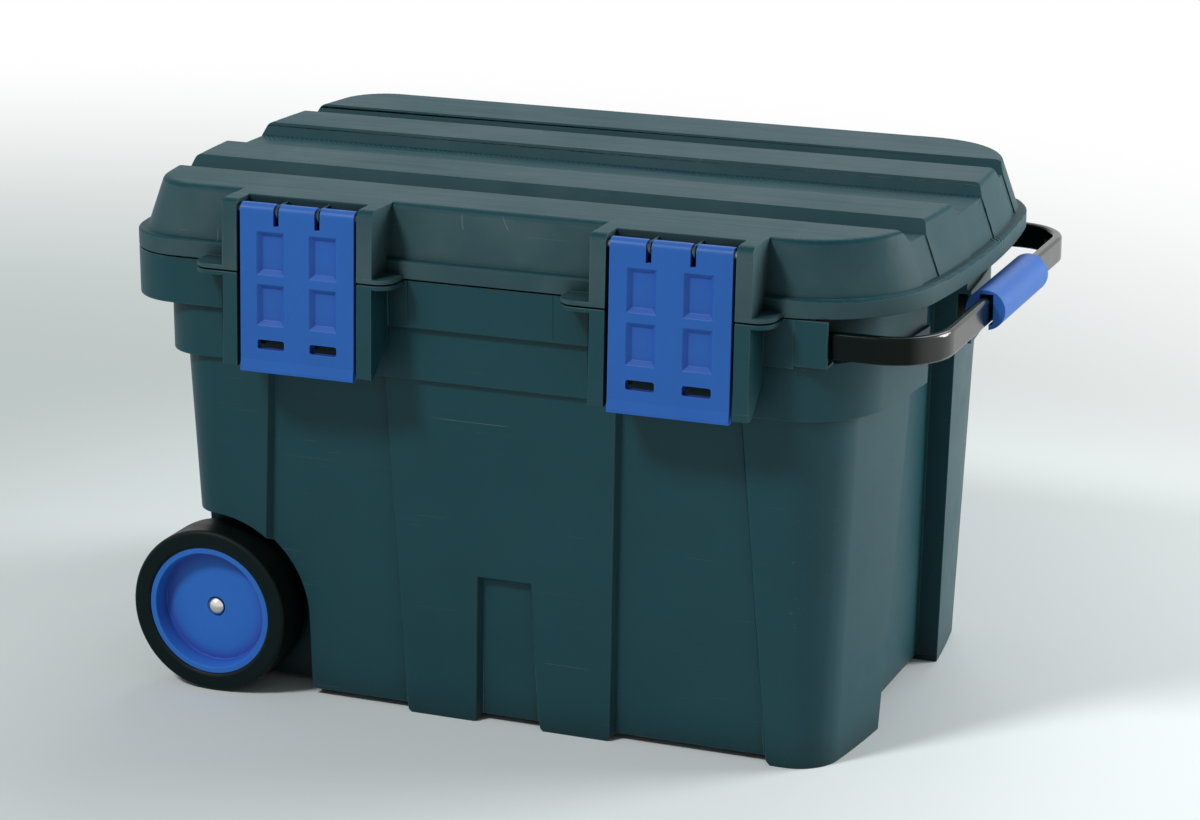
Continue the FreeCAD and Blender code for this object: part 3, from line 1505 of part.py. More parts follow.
def make_handle_fittings(end_name, end):
    """The guide that closes the gutter, and the shoe and rivet on the arm's inner end."""
    tag = end_name
    arm_in = "(bar_half_depth - bar_thick)"
    inner = "(gutter_half_depth + running_gap)"
    fit = "running_gap"
    outside = side_block(
        f"guide_outside_{tag}",
        end,
        "guide_start",
        "guide_end",
        inner,
        "rim_half_depth",
        "rim_bottom",
        "seam_height",
    )
    mouth = side_block(
        f"guide_mouth_{tag}",
        end,
        "guide_start + guide_collar",
        "guide_end + overlap",
        f"{inner} - overlap",
        "rim_half_depth - guide_wall",
        "rim_bottom + guide_floor",
        "seam_height + overlap",
    )
    slot = side_block(
        f"guide_slot_{tag}",
        end,
        "guide_start - overlap",
        "guide_start + guide_collar + overlap",
        f"{inner} - overlap",
        f"bar_half_depth + {fit}",
        f"bar_bottom - {fit}",
        f"bar_bottom + bar_height + {fit}",
    )
    guide = cut(f"guide_{tag}", outside, fuse(f"guide_spaces_{tag}", mouth, slot))
    node(guide, f"handle_guide_{tag}")
    block_out = side_block(
        f"shoe_outside_{tag}",
        end,
        "bar_inner_end - shoe_beyond",
        "bar_inner_end - shoe_beyond + shoe_length",
        f"gutter_half_depth + {fit}",
        f"rim_half_depth - skin - {fit}",
        f"rim_bottom + {fit}",
        "bar_bottom + bar_height + shoe_above",
    )
    arm_space = side_block(
        f"shoe_seat_{tag}",
        end,
        "bar_inner_end",
        "bar_inner_end + shoe_length + overlap",
        arm_in,
        "bar_half_depth",
        "bar_bottom",
        "bar_bottom + bar_height",
    )
    middle = "(bar_bottom + bar_height / 2)"
    y_ends = ("gutter_half_depth + running_gap", "rim_half_depth - skin - running_gap")
    y_low, y_high = y_ends if end > 0 else (f"-({y_ends[1]})", f"-({y_ends[0]})")
    ends = (f"{y_low} - overlap", f"{y_high} + overlap")
    hole = rod_y(f"shoe_hole_{tag}", "rivet_radius + axle_play", *ends, RIVET_X, middle)
    shoe = cut(f"shoe_{tag}", block_out, fuse(f"shoe_spaces_{tag}", arm_space, hole))
    node(shoe, f"arm_shoe_{tag}")
    rivet = DOC.addObject("Part::Cylinder", f"rivet_{tag}")
    bind(rivet, Radius="rivet_radius", Height=f"{y_high} - ({y_low})")
    node(rivet, f"shoe_rivet_{tag}", RIVET_X, y_low, middle, Rotation(Vector(1, 0, 0), -90))


# ---- the whole box -----------------------------------------------------------------------

make_tub()
make_lid()
for side_name, side in SIDES:
    make_latch(side_name, side)
    make_pins(side_name, side)
make_axle()
for end_name, end in ENDS:
    make_wheel(end_name, end)
make_handle_bar()
make_grip()
for end_name, end in ENDS:
    make_handle_fittings(end_name, end)

DOC.recompute()
failed = [o.Name for o in DOC.Objects if {"Invalid", "Error"} & set(o.State)]
if failed:
    raise RuntimeError(f"these objects failed: {failed}")
for piece in NODES:
    if piece.Shape.isNull() or not piece.Shape.isValid():
        raise RuntimeError(f"{piece.Label} has no valid shape")

os.makedirs("parts", exist_ok=True)
for piece in NODES:
    piece.Shape.exportStep(f"parts/{piece.Label}.step")
    box = piece.Shape.BoundBox
    solids = len(piece.Shape.Solids)
    print(f"{piece.Label}: {solids} solid, {piece.Shape.Volume / 1000:.1f} cm3, {box}")
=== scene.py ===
"""A wheeled jobsite storage box: the finishes of its pieces, their softened edges, the marks
that moulding and use leave on them, and the studio around the box."""

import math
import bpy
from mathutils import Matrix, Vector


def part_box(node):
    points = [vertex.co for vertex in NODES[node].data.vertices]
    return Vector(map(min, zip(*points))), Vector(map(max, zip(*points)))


bl_info = {
    "name": "Wheeled Jobsite Storage Box",
    "version": (1, 0, 0),
    "blender": (4, 5, 0),
    "location": "View3D > Sidebar > Storage Box",
    "description": "Finishes the pieces of a wheeled storage box and lights it in a studio",
    "category": "Object",
}

import bmesh
import bpy
from bpy.props import FloatProperty, FloatVectorProperty, PointerProperty
from mathutils import Vector

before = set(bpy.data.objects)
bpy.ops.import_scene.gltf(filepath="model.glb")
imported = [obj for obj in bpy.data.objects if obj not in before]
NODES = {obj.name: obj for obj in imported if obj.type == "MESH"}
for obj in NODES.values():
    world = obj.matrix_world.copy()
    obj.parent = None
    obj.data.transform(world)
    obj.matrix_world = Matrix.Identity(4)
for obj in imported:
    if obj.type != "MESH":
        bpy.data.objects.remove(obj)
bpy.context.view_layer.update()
ENDS = ("front", "rear")
SIDES = ("left", "right")


# ---- sizes and colours -------------------------------------------------------------------
# Lengths are in metres, in the frame's own axes.


WHITE = (1.0, 1.0, 1.0)
RUBBED_BLUE = (0.10, 0.22, 0.55)
SHOE_BLACK = (0.012, 0.012, 0.013)
CLOUDED_RUBBER = (0.004, 0.006, 0.006)
DUSTY_RUBBER = (0.020, 0.026, 0.024)
RUBBED_AND_LIT_RUBBER = (0.08, 0.11, 0.10)
RUBBED_PAINT = (0.08, 0.08, 0.08)
SKY = (0.93, 0.97, 1.0)
SKY_STRENGTH = 0.25

WORN_AND_LIT_EDGE = 0.0012  # how far in from an edge the plastic of tub and lid is rubbed, its lighter colour also a painted highlight
PAINTED_SHADE_REACH = 0.045  # how far off a wall the painted shade in hollows of tub and lid reaches
RECESS_SHADE_REACH = 0.012  # the same for the painted shade in the recesses of the blue pieces
TYRE_RING = 0.0016  # from one moulding ring on a tyre's face to the next
BAR_REFLECTION_START = 0.022  # how far back from its outer side the handle's tube starts to get its painted stronger reflection
BAR_REFLECTION_FULL = 0.008  # how far back from there the painted reflection is full

WITNESS_LINES = (-0.0755, 0.0355)  # along the rim band
WITNESS_LINE_WIDTH = 0.0005
RIM_BAND = 0.033  # height of the rim band below the lid's seam

RIB_LINE = 0.0320  # across the lid
RIB_REACH = 0.0050  # from the line to the ribs' ends
RIB_PITCH = 0.0042
RIB_SLANT = 0.8
VALLEY_DEPTH = 0.009  # below the lid's top

FRONT_NICKS = (((-0.0364, 0.3762), 1.43), ((-0.0038, 0.3775), 1.08))  # along and up, turn
NICK_BEND = 18.0  # how far a nick leaves a straight line, for each metre along it squared

SHARP_EDGE = math.radians(40)
FLAT_ENOUGH = math.radians(1)
WELD_DISTANCE = 1e-5
ROOM_FOR_RADIUS = 3.0  # how many radii of room the full rounding of an edge needs

FLOOR_RADIUS = 14.0
HAZE_MIDDLE = (-0.9, -0.1, 0.0)  # where the paper is farthest from white
SENSOR_WIDTH = 36.0
AIM = (0.0, 0.0, 0.2)
LAMPS = (  # name, place, width, share of the studio's light
    ("key_lamp", (-1.5, -2.6, 3.2), 0.8, 0.98),
    ("right_lamp", (2.7, 1.6, 1.2), 1.8, 0.95),
    ("back_lamp", (0.0, 2.4, 2.8), 2.2, 0.25),
)


def colour(name, default, description):
    return FloatVectorProperty(
        name=name,
        description=description,
        default=default,
        subtype="COLOR",
        size=3,
        min=0.0,
        max=1.0,
    )


def length(name, default, description):
    return FloatProperty(
        name=name, description=description, default=default, unit="LENGTH", min=0.0
    )


def share(name, default, description):
    return FloatProperty(
        name=name, description=description, default=default, subtype="FACTOR", min=0.0, max=1.0
    )


class ShellSettings(bpy.types.PropertyGroup):
    colour: colour("Colour", (0.004, 0.044, 0.056), "Moulded plastic of the tub and the lid")
    # The worn colour serves rubbed plastic, and also the painted sheen and the painted edge
    # highlights.
    worn_colour: colour("Worn Colour", (0.21, 0.25, 0.25), "Plastic where it is rubbed")
    # The hollow colour is painted shade, for corners and under overhangs.
    hollow_colour: colour("Hollow Colour", (0.0005, 0.006, 0.007), "Plastic deep in corners")
    roughness: share("Roughness", 0.45, "Roughness of the clean plastic")
    edge: length("Edge Radius", 0.0007, "Rounding of the moulded edges")
    scuffs: share("Scuffs", 0.30, "Strength of the scratches")
    # Haze is a painted sheen: faces are made lighter by how they face, as if they reflect more
    # light.
    tub_haze: share("Tub Haze", 0.01, "Pale bloom on the tub")
    lid_haze: share("Lid Haze", 0.17, "Pale bloom on the lid's upright faces")
    tub_gloss: share("Tub Gloss", 0.22, "Strength of the tub's reflections")
    lid_gloss: share("Lid Gloss", 0.05, "Strength of the lid's reflections")


class LatchSettings(bpy.types.PropertyGroup):
    colour: colour("Colour", (0.020, 0.106, 0.388), "Blue plastic of the latches and the grip")
    # The recess colour is painted shade in the corners of recesses.
    recess: colour("Recess", (0.028, 0.050, 0.310), "The same plastic in the corners of recesses")
    hub: colour("Hub", (0.024, 0.132, 0.480), "Blue plastic of the wheels' hubs")
    roughness: share("Roughness", 0.44, "Roughness of the blue plastic")
    edge: length("Edge Radius", 0.0004, "Rounding of the latches' edges")


class WheelSettings(bpy.types.PropertyGroup):
    rubber: colour("Rubber", (0.0010, 0.0038, 0.0034), "Treads of the tyres")
    # The side colour is painted light: the tyres' side faces are the same rubber, made lighter as
    # if lit more.
    side: colour("Side", (0.0008, 0.0068, 0.0068), "Side faces of the tyres")
    roughness: share("Roughness", 0.46, "Roughness of the tyres")
    edge: length("Edge Radius", 0.0006, "Rounding of the hubs' edges")


class HandleSettings(bpy.types.PropertyGroup):
    paint: colour("Paint", (0.0006, 0.0042, 0.0034), "Black paint of the handle's tube")
    roughness: share("Roughness", 0.13, "Roughness of the paint")
    edge: length("Edge Radius", 0.0005, "Rounding of the grip, the shoes and the pins")


class SteelSettings(bpy.types.PropertyGroup):
    colour: colour("Colour", (0.56, 0.56, 0.55), "Zinc plated pins, axle and washers")
    cap: colour("Cap Colour", (0.66, 0.65, 0.60), "Bright axle caps")


class StudioSettings(bpy.types.PropertyGroup):
    floor: colour("Floor", (0.60, 0.65, 0.65), "Pale paper under the box, on its left")
    # The lighter right side of the floor is painted light: the same paper, made lighter as if lit
    # more there.
    bright_floor: colour("Bright Floor", (0.76, 0.81, 0.81), "The same paper on the right")
    backdrop: colour("Backdrop", (0.51, 0.57, 0.56), "Where the paper runs out into white")
    light: FloatProperty(
        name="Light",
        description="Power in watts that the lamps take their shares of",
        default=120.0,
        min=0.0,
        unit="POWER",
    )
    lens: FloatProperty(
        name="Lens",
        description="Focal length on a 36 mm wide sensor, in millimetres",
        default=103.4,
        min=1.0,
        unit="CAMERA",
    )
    azimuth: FloatProperty(
        name="Azimuth",
        description="Camera's turn from the latch side towards the handle end",
        default=math.radians(21.92),
        subtype="ANGLE",
    )
    elevation: FloatProperty(
        name="Elevation",
        description="How far the camera looks down",
        default=math.radians(16.48),
        subtype="ANGLE",
    )
    eye: FloatVectorProperty(
        name="Eye",
        description="Place of the camera",
        default=(0.92433, -2.30468, 0.9306),
        subtype="XYZ",
        unit="LENGTH",
    )


# ---- node trees --------------------------------------------------------------------------


class Nodes:
    """The nodes of one tree, added one by one."""

    def __init__(self, tree):
        self.tree = tree

    def set(self, node, socket, value):
        """Gives a node's input a plain value, or a link where the value is a socket."""
        if isinstance(value, bpy.types.NodeSocket):
            self.tree.links.new(value, node.inputs[socket])
            return
        if node.inputs[socket].type == "RGBA":
            value = (*value, 1.0)
        node.inputs[socket].default_value = value

    def add(self, kind, inputs=None, **settings):
        node = self.tree.nodes.new(kind)
        for name, value in settings.items():
            setattr(node, name, value)
        for socket, value in (inputs or {}).items():
            self.set(node, socket, value)
        return node

    def maths(self, operation, *values):
        inputs = dict(enumerate(values))
        return self.add("ShaderNodeMath", inputs, operation=operation).outputs[0]

    def vectors(self, operation, *values):
        """Maths on vectors. A distance or a length comes out as a number."""
        inputs = dict(enumerate(values))
        node = self.add("ShaderNodeVectorMath", inputs, operation=operation)
        return node.outputs["Value" if operation in ("DISTANCE", "LENGTH") else "Vector"]

    def seen_by(self, *rays):
        """1 for light paths of these kinds, 0 for all others."""
        paths = self.add("ShaderNodeLightPath").outputs
        found = paths[f"Is {rays[0]} Ray"]
        for ray in rays[1:]:
            found = self.maths("MAXIMUM", found, paths[f"Is {ray} Ray"])
        return found


class Finish(Nodes):
    """A material's nodes, which end in one shader."""

    # A mix node has its sockets for numbers and vectors before those for colours.
    MIX_AMOUNT, MIX_FIRST, MIX_SECOND, MIX_RESULT = 0, 6, 7, 2

    def __init__(self, name, **uniform):
        self.material = bpy.data.materials.new(name)
        self.material.use_nodes = True
        super().__init__(self.material.node_tree)
        self.shader = self.tree.nodes["Principled BSDF"]
        self.finish(**uniform)
        coordinates = self.add("ShaderNodeTexCoord").outputs
        self.place, self.facing = coordinates["Object"], coordinates["Normal"]

    def finish(self, **values):
        """Sets or links the shader's inputs."""
        for socket, value in values.items():
            self.set(self.shader, socket.replace("_", " "), value)
        return self.material

    def scaled(self, stretch, turn=(0.0, 0.0, 0.0)):
        inputs = {"Vector": self.place, "Scale": stretch, "Rotation": turn}
        return self.add("ShaderNodeMapping", inputs).outputs[0]

    def noise(self, size, detail=3.0, roughness=0.5, vector=None, distortion=0.0):
        """Noise between 0 and 1 with features of about that size in metres."""
        inputs = {
            "Vector": vector or self.place,
            "Scale": 1 / size,
            "Detail": detail,
            "Roughness": roughness,
            "Distortion": distortion,
        }
        return self.add("ShaderNodeTexNoise", inputs).outputs["Fac"]

    def band(self, value, low, high, first=0.0, last=1.0):
        """A smooth step from first to last, while a value goes from low to high."""
        levels = {"From Min": low, "From Max": high, "To Min": first, "To Max": last}
        return self.add(
            "ShaderNodeMapRange",
            {"Value": value, **levels},
            interpolation_type="SMOOTHSTEP",
            clamp=True,
        ).outputs["Result"]

    def fade(self, value, low, high):
        """A smooth step down from 1 to 0."""
        return self.band(value, low, high, 1.0, 0.0)

    def spread(self, noise, first, last):
        """The range that most of a noise's values are in, from first to last."""
        return self.band(noise, 0.3, 0.7, first, last)

    def mix(self, amount, first, second):
        inputs = {self.MIX_AMOUNT: amount, self.MIX_FIRST: first, self.MIX_SECOND: second}
        return self.add("ShaderNodeMix", inputs, data_type="RGBA").outputs[self.MIX_RESULT]

    def tinted(self, base, amount, by):
        """A colour that gets lighter and darker by a share, as another value goes 0 to 1."""
        low = tuple(part * (1 - amount) for part in base)
        high = tuple(min(1.0, part * (1 + amount)) for part in base)
        return self.mix(by, low, high)

    def axes(self, vector, names):
        """The named parts of a vector."""
        parts = self.add("ShaderNodeSeparateXYZ", {0: vector}).outputs
        return [parts[name] for name in names]

    def away(self, value, level):
        """How far a value is from a level, on either side."""
        return self.maths("ABSOLUTE", self.maths("SUBTRACT", value, level))

    def bump(self, height, distance, strength=1.0, over=None):
        """A relief of that height in metres, over another one if there is one."""
        inputs = {"Height": height, "Distance": distance, "Strength": strength}
        if over is not None:
            inputs["Normal"] = over
        return self.add("ShaderNodeBump", inputs).outputs["Normal"]

    def scratches(self, long, thin, turn, keep):
        """Sparse thin strokes along one direction: 0 on clean surface, 1 on a stroke."""
        along = self.scaled((1 / long, 1 / thin, 1 / thin), turn)
        lines = self.noise(size=1.0, detail=2.0, roughness=0.6, vector=along, distortion=0.25)
        patches = self.noise(size=0.06, detail=2.0)
        return self.maths(
            "MULTIPLY",
            self.band(lines, low=keep, high=keep + 0.04),
            self.band(patches, low=0.46, high=0.62),
        )

    def stroke(self, offset, turn, long, thin):
        """A short curved stroke around a point: 1 on the stroke, 0 beside it."""
        inputs = {"Vector": offset, "Angle": turn}
        turned = self.add("ShaderNodeVectorRotate", inputs, rotation_type="Z_AXIS").outputs[0]
        along, aside = self.axes(turned, "XY")
        bend = self.maths("MULTIPLY", self.maths("MULTIPLY", along, along), NICK_BEND)
        from_middle = self.maths("ABSOLUTE", along)
        return self.maths(
            "MULTIPLY",
            self.fade(self.away(aside, bend), low=thin * 0.4, high=thin),
            self.fade(from_middle, low=long * 0.3, high=long * 0.5),
        )

    def nicks(self, across, up, spacing, long, thin):
        """Strokes in a few of the cells of a loose grid, each with its own turn."""
        flat = self.add("ShaderNodeCombineXYZ", {0: across, 1: up}).outputs[0]
        cells = self.add(
            "ShaderNodeTexVoronoi",
            {"Vector": flat, "Scale": 1 / spacing},
            voronoi_dimensions="2D",
        ).outputs
        chance, angle = self.axes(cells["Color"], "XY")
        turn = self.maths("MULTIPLY", angle, math.pi)
        offset = self.vectors("SUBTRACT", flat, cells["Position"])
        chosen = self.band(chance, low=0.60, high=0.62)
        return self.maths("MULTIPLY", self.stroke(offset, turn, long, thin), chosen)

    def rounded(self, radius):
        """The normal as it is on edges rounded by a radius."""
        return self.add("ShaderNodeBevel", {"Radius": radius}, samples=6).outputs[0]

    def open_air(self, reach, alone=True, inside=False):
        """1 on open faces, less where something is near: the piece alone, or its neighbours."""
        return self.add(
            "ShaderNodeAmbientOcclusion",
            {"Distance": reach},
            samples=6,
            inside=inside,
            only_local=alone,
        ).outputs["AO"]

    def ridges(self, reach):
        """0 on faces and in corners, up to 1 on edges that stand out."""
        return self.fade(self.open_air(reach, inside=True), low=0.35, high=0.95)


def moulded_plastic(name, settings, haze, gloss, relief, scars=None):
    """Grained plastic: scratches, rubbed edges with painted highlights, painted sheen, painted
    shade in hollows.
    """
    plastic = Finish(name, IOR=1.49, Specular_IOR_Level=gloss)
    worn_and_sheen = tuple(settings.worn_colour)
    (tilt,) = plastic.axes(plastic.facing, "Z")
    cloud = plastic.noise(size=0.09, detail=4.0, roughness=0.55)

    marked = plastic.maths(
        "MAXIMUM",
        plastic.scratches(long=0.16, thin=0.0011, turn=(0.0, 0.0, 0.10), keep=0.70),
        plastic.scratches(long=0.05, thin=0.0008, turn=(0.3, 0.2, 1.15), keep=0.72),
    )
    if scars is not None:
        marked = plastic.maths("MAXIMUM", marked, scars(plastic))
    marked = plastic.maths("MULTIPLY", marked, settings.scuffs)

    streaks = plastic.scaled((1 / 0.12, 1 / 0.003, 1 / 0.003))
    brushed = plastic.noise(size=1.0, detail=3.0, roughness=0.6, vector=streaks)
    # Painted sheen: upright faces, and streaks on the top faces, are made lighter to stand in for
    # reflected light.
    upright = plastic.maths(
        "MULTIPLY",
        plastic.band(tilt, low=0.15, high=0.60, first=1.0, last=0.15),
        plastic.band(cloud, low=0.25, high=0.75, first=haze * 0.6, last=haze * 1.4),
    )
    level = plastic.maths(
        "MULTIPLY",
        plastic.band(tilt, low=0.80, high=0.97),
        plastic.spread(brushed, haze * 0.1, haze * 0.7),
    )
    painted_sheen = plastic.maths("ADD", upright, level)
    patchy = plastic.noise(size=0.02, detail=4.0, roughness=0.6)
    # Rubbed edges; their lighter colour also stands in for the highlights along the edges.
    edges = plastic.maths(
        "MULTIPLY",
        plastic.ridges(WORN_AND_LIT_EDGE),
        plastic.band(patchy, low=0.35, high=0.7, first=0.10, last=0.34),
    )
    # Painted shade: the colour darkens in hollows and under overhangs, near walls of this piece
    # and its neighbours.
    air = plastic.open_air(PAINTED_SHADE_REACH, alone=False)
    painted_shade = plastic.band(air, low=0.10, high=0.85, first=0.95, last=0.0)
    tone = plastic.tinted(settings.colour, amount=0.10, by=plastic.noise(size=0.05))
    tone = plastic.mix(painted_sheen, tone, worn_and_sheen)
    tone = plastic.mix(painted_shade, tone, tuple(settings.hollow_colour))
    tone = plastic.mix(edges, tone, worn_and_sheen)
    tone = plastic.mix(marked, tone, worn_and_sheen)

    clean = settings.roughness
    dull = plastic.spread(cloud, clean - 0.04, clean + 0.05)
    spots = plastic.noise(size=0.035, detail=5.0, roughness=0.7)
    dull = plastic.maths("ADD", dull, plastic.band(spots, low=0.52, high=0.74, last=0.05))
    dull = plastic.maths("ADD", dull, plastic.maths("MULTIPLY", marked, 0.15))

    grain = plastic.noise(size=0.0009, detail=2.0, roughness=0.6)
    sink = plastic.noise(size=0.045, detail=2.0)
    normal = plastic.rounded(settings.edge)
    normal = plastic.bump(grain, distance=0.00006, strength=0.30, over=normal)
    normal = plastic.bump(sink, distance=0.0006, strength=0.25, over=normal)
    normal = plastic.bump(marked, distance=0.00008, strength=0.5, over=normal)
    normal = plastic.bump(relief(plastic), distance=0.00035, over=normal)
    return plastic.finish(Base_Color=tone, Roughness=dull, Normal=normal)


def blue_plastic(name, settings, base):
    """Satin blue plastic with flow marks, pale edges and painted shade in its recesses."""
    plastic = Finish(name, IOR=1.49, Specular_IOR_Level=0.18)
    flow = plastic.noise(size=0.03, vector=plastic.scaled((1.0, 1.0, 0.35)))
    scratch = plastic.scratches(long=0.03, thin=0.0006, turn=(0.2, 0.9, 0.4), keep=0.71)
    scratch = plastic.maths("MULTIPLY", scratch, 0.30)
    edges = plastic.maths("MULTIPLY", plastic.ridges(reach=0.001), 0.22)
    # Painted shade: the colour darkens towards the corners of recesses.
    air = plastic.open_air(RECESS_SHADE_REACH)
    deep = plastic.band(air, low=0.60, high=0.98, first=0.95, last=0.0)
    tone = plastic.tinted(base, amount=0.07, by=flow)
    tone = plastic.mix(deep, tone, tuple(settings.recess))
    tone = plastic.mix(edges, tone, RUBBED_BLUE)
    tone = plastic.mix(scratch, tone, RUBBED_BLUE)
    clean = settings.roughness
    rough = plastic.spread(flow, clean - 0.03, clean + 0.05)
    grain = plastic.noise(size=0.0011, detail=2.0)
    sink = plastic.noise(size=0.018, detail=1.0)
    normal = plastic.rounded(settings.edge)
    normal = plastic.bump(grain, distance=0.00005, strength=0.25, over=normal)
    normal = plastic.bump(sink, distance=0.0003, strength=0.22, over=normal)
    return plastic.finish(Base_Color=tone, Roughness=rough, Normal=normal)


def black_plastic():
    """Satin black plastic with a fine grain."""
    plastic = Finish("shoe_black", IOR=1.49)
    cloud = plastic.noise(size=0.012)
    grain = plastic.noise(size=0.0008, detail=2.0)
    return plastic.finish(
        Base_Color=plastic.tinted(SHOE_BLACK, amount=0.2, by=cloud),
        Roughness=plastic.spread(cloud, 0.42, 0.55),
        Normal=plastic.bump(grain, distance=0.00005, strength=0.4),
    )


def tyre_rubber(settings):
    """Black rubber: grain, moulding rings, dust, rubbed edges with a painted highlight, painted
    light on its sides.
    """
    rubber = Finish("wheel_rubber", IOR=1.5, Specular_IOR_Level=0.10)
    cloud = rubber.noise(size=0.02, detail=5.0, roughness=0.65)
    specks = rubber.noise(size=0.008, detail=5.0, roughness=0.7)
    dust = rubber.maths("MULTIPLY", rubber.band(specks, low=0.55, high=0.8), 0.10)
    # Rubbed edges; their lighter colour also stands in for the highlight ring along the tyres'
    # edges.
    edges = rubber.maths("MULTIPLY", rubber.ridges(reach=0.0015), 0.5)
    # Painted light: the side faces get a lighter colour than the tread.
    sideways = rubber.maths("ABSOLUTE", *rubber.axes(rubber.facing, "Y"))
    painted_light_on_side = rubber.band(sideways, low=0.7, high=0.95)
    tone = rubber.mix(painted_light_on_side, tuple(settings.rubber), tuple(settings.side))
    tone = rubber.mix(rubber.spread(cloud, 0.0, 0.25), tone, CLOUDED_RUBBER)
    tone = rubber.mix(dust, tone, DUSTY_RUBBER)
    tone = rubber.mix(edges, tone, RUBBED_AND_LIT_RUBBER)
    clean = settings.roughness
    rough = rubber.spread(cloud, clean - 0.06, clean + 0.10)
    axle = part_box("axle")
    middle = (axle[0] + axle[1]) / 2
    from_axle = rubber.vectors("SUBTRACT", rubber.place, tuple(middle))
    radius = rubber.vectors("LENGTH", rubber.vectors("MULTIPLY", from_axle, (1.0, 0.0, 1.0)))
    rings = rubber.maths("SINE", rubber.maths("MULTIPLY", radius, 2 * math.pi / TYRE_RING))
    grain = rubber.noise(size=0.0007, detail=2.0)
    normal = rubber.bump(rings, distance=0.00004, strength=0.35)
    normal = rubber.bump(grain, distance=0.00008, strength=0.45, over=normal)
    return rubber.finish(Base_Color=tone, Roughness=rough, Normal=normal)


def gloss_paint(settings):
    """Gloss paint with the slight orange peel that it dries with, and a painted stronger
    reflection on the cross bar.
    """
    paint = Finish("handle_paint", IOR=1.5)
    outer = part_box("handle_bar")[1].x
    (along,) = paint.axes(paint.place, "X")
    # Painted reflection: the cross bar reflects more strongly than the rest of the tube, standing
    # in for the brighter surroundings it faces.
    gloss = paint.band(along, outer - BAR_REFLECTION_START, outer - BAR_REFLECTION_FULL, first=0.10, last=0.55)
    wear = paint.scratches(long=0.09, thin=0.0006, turn=(0.0, 0.0, 0.0), keep=0.70)
    tone = paint.tinted(settings.paint, amount=0.15, by=paint.noise(size=0.05))
    tone = paint.mix(paint.maths("MULTIPLY", wear, 0.15), tone, RUBBED_PAINT)
    smooth = settings.roughness
    rough = paint.spread(paint.noise(size=0.02), smooth, smooth + 0.08)
    peel = paint.noise(size=0.0035, detail=1.0)
    return paint.finish(
        Base_Color=tone,
        Roughness=rough,
        Specular_IOR_Level=gloss,
        Normal=paint.bump(peel, distance=0.00004, strength=0.5),
    )


def plated_steel(name, base, roughness, stretch):
    """Plated steel with fine turning or drawing marks."""
    steel = Finish(name, Metallic=1.0)
    marks = steel.noise(size=0.0004, roughness=0.6, vector=steel.scaled(stretch))
    stain = steel.noise(size=0.006, detail=4.0, roughness=0.6)
    return steel.finish(
        Base_Color=steel.tinted(base, amount=0.18, by=stain),
        Roughness=steel.spread(marks, roughness - 0.06, roughness + 0.10),
        Normal=steel.bump(marks, distance=0.00002, strength=0.35),
    )


def rim_marks(plastic):
    """The upright witness lines that the mould's inserts leave on the rim band."""
    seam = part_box("handle_guide_front")[1].z
    along, up = plastic.axes(plastic.place, "XZ")
    lines = plastic.maths(
        "MAXIMUM",
        *(
            plastic.fade(plastic.away(along, at), WITNESS_LINE_WIDTH / 5, WITNESS_LINE_WIDTH)
            for at in WITNESS_LINES
        ),
    )
    foot = seam - RIM_BAND
    sunk = plastic.band(up, low=foot, high=foot + 0.001, last=-1.0)
    return plastic.maths("MULTIPLY", lines, sunk)


def lid_scars(plastic):
    """Two nicks in the lid's front and a few small ones on top of it."""
    across, deep, up = plastic.axes(plastic.place, "XYZ")
    small = plastic.nicks(across, deep, spacing=0.07, long=0.006, thin=0.0005)
    found = plastic.maths("MULTIPLY", small, plastic.band(deep, low=-0.185, high=-0.180))
    flat = plastic.add("ShaderNodeCombineXYZ", {0: across, 1: up}).outputs[0]
    front = plastic.fade(deep, low=-0.175, high=-0.170)
    for at, turn in FRONT_NICKS:
        offset = plastic.vectors("SUBTRACT", flat, (*at, 0.0))
        nick = plastic.stroke(offset, turn, long=0.013, thin=0.0006)
        found = plastic.maths("MAXIMUM", found, plastic.maths("MULTIPLY", nick, front))
    return found


def valley_ribs(plastic):
    """Fine slanted ribs along the back edge of the lid's wide valley."""
    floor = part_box("lid_shell")[1].z - VALLEY_DEPTH
    along, deep, up = plastic.axes(plastic.place, "XYZ")
    slant = plastic.maths("ADD", along, plastic.maths("MULTIPLY", deep, RIB_SLANT))
    wave = plastic.maths("SINE", plastic.maths("MULTIPLY", slant, 2 * math.pi / RIB_PITCH))
    strip = plastic.maths(
        "MULTIPLY",
        plastic.fade(plastic.away(deep, RIB_LINE), low=RIB_REACH, high=RIB_REACH + 0.0012),
        plastic.fade(up, low=floor - 0.0002, high=floor + 0.0002),
    )
    return plastic.maths("MULTIPLY", wave, strip)


# ---- work on the pieces ------------------------------------------------------------------


class ShapeNodes(Nodes):
    """A group of geometry nodes, which starts from a piece's shape and ends with a new one."""

    def __init__(self, name, **inputs):
        super().__init__(bpy.data.node_groups.new(name, "GeometryNodeTree"))
        sockets = self.tree.interface
        for socket, kind in (("Geometry", "Geometry"), *inputs.items()):
            sockets.new_socket(socket, in_out="INPUT", socket_type=f"NodeSocket{kind}")
        sockets.new_socket("Geometry", in_out="OUTPUT", socket_type="NodeSocketGeometry")
        self.given = self.add("NodeGroupInput").outputs

    def end(self, geometry):
        self.add("NodeGroupOutput", {0: geometry})
        return self.tree


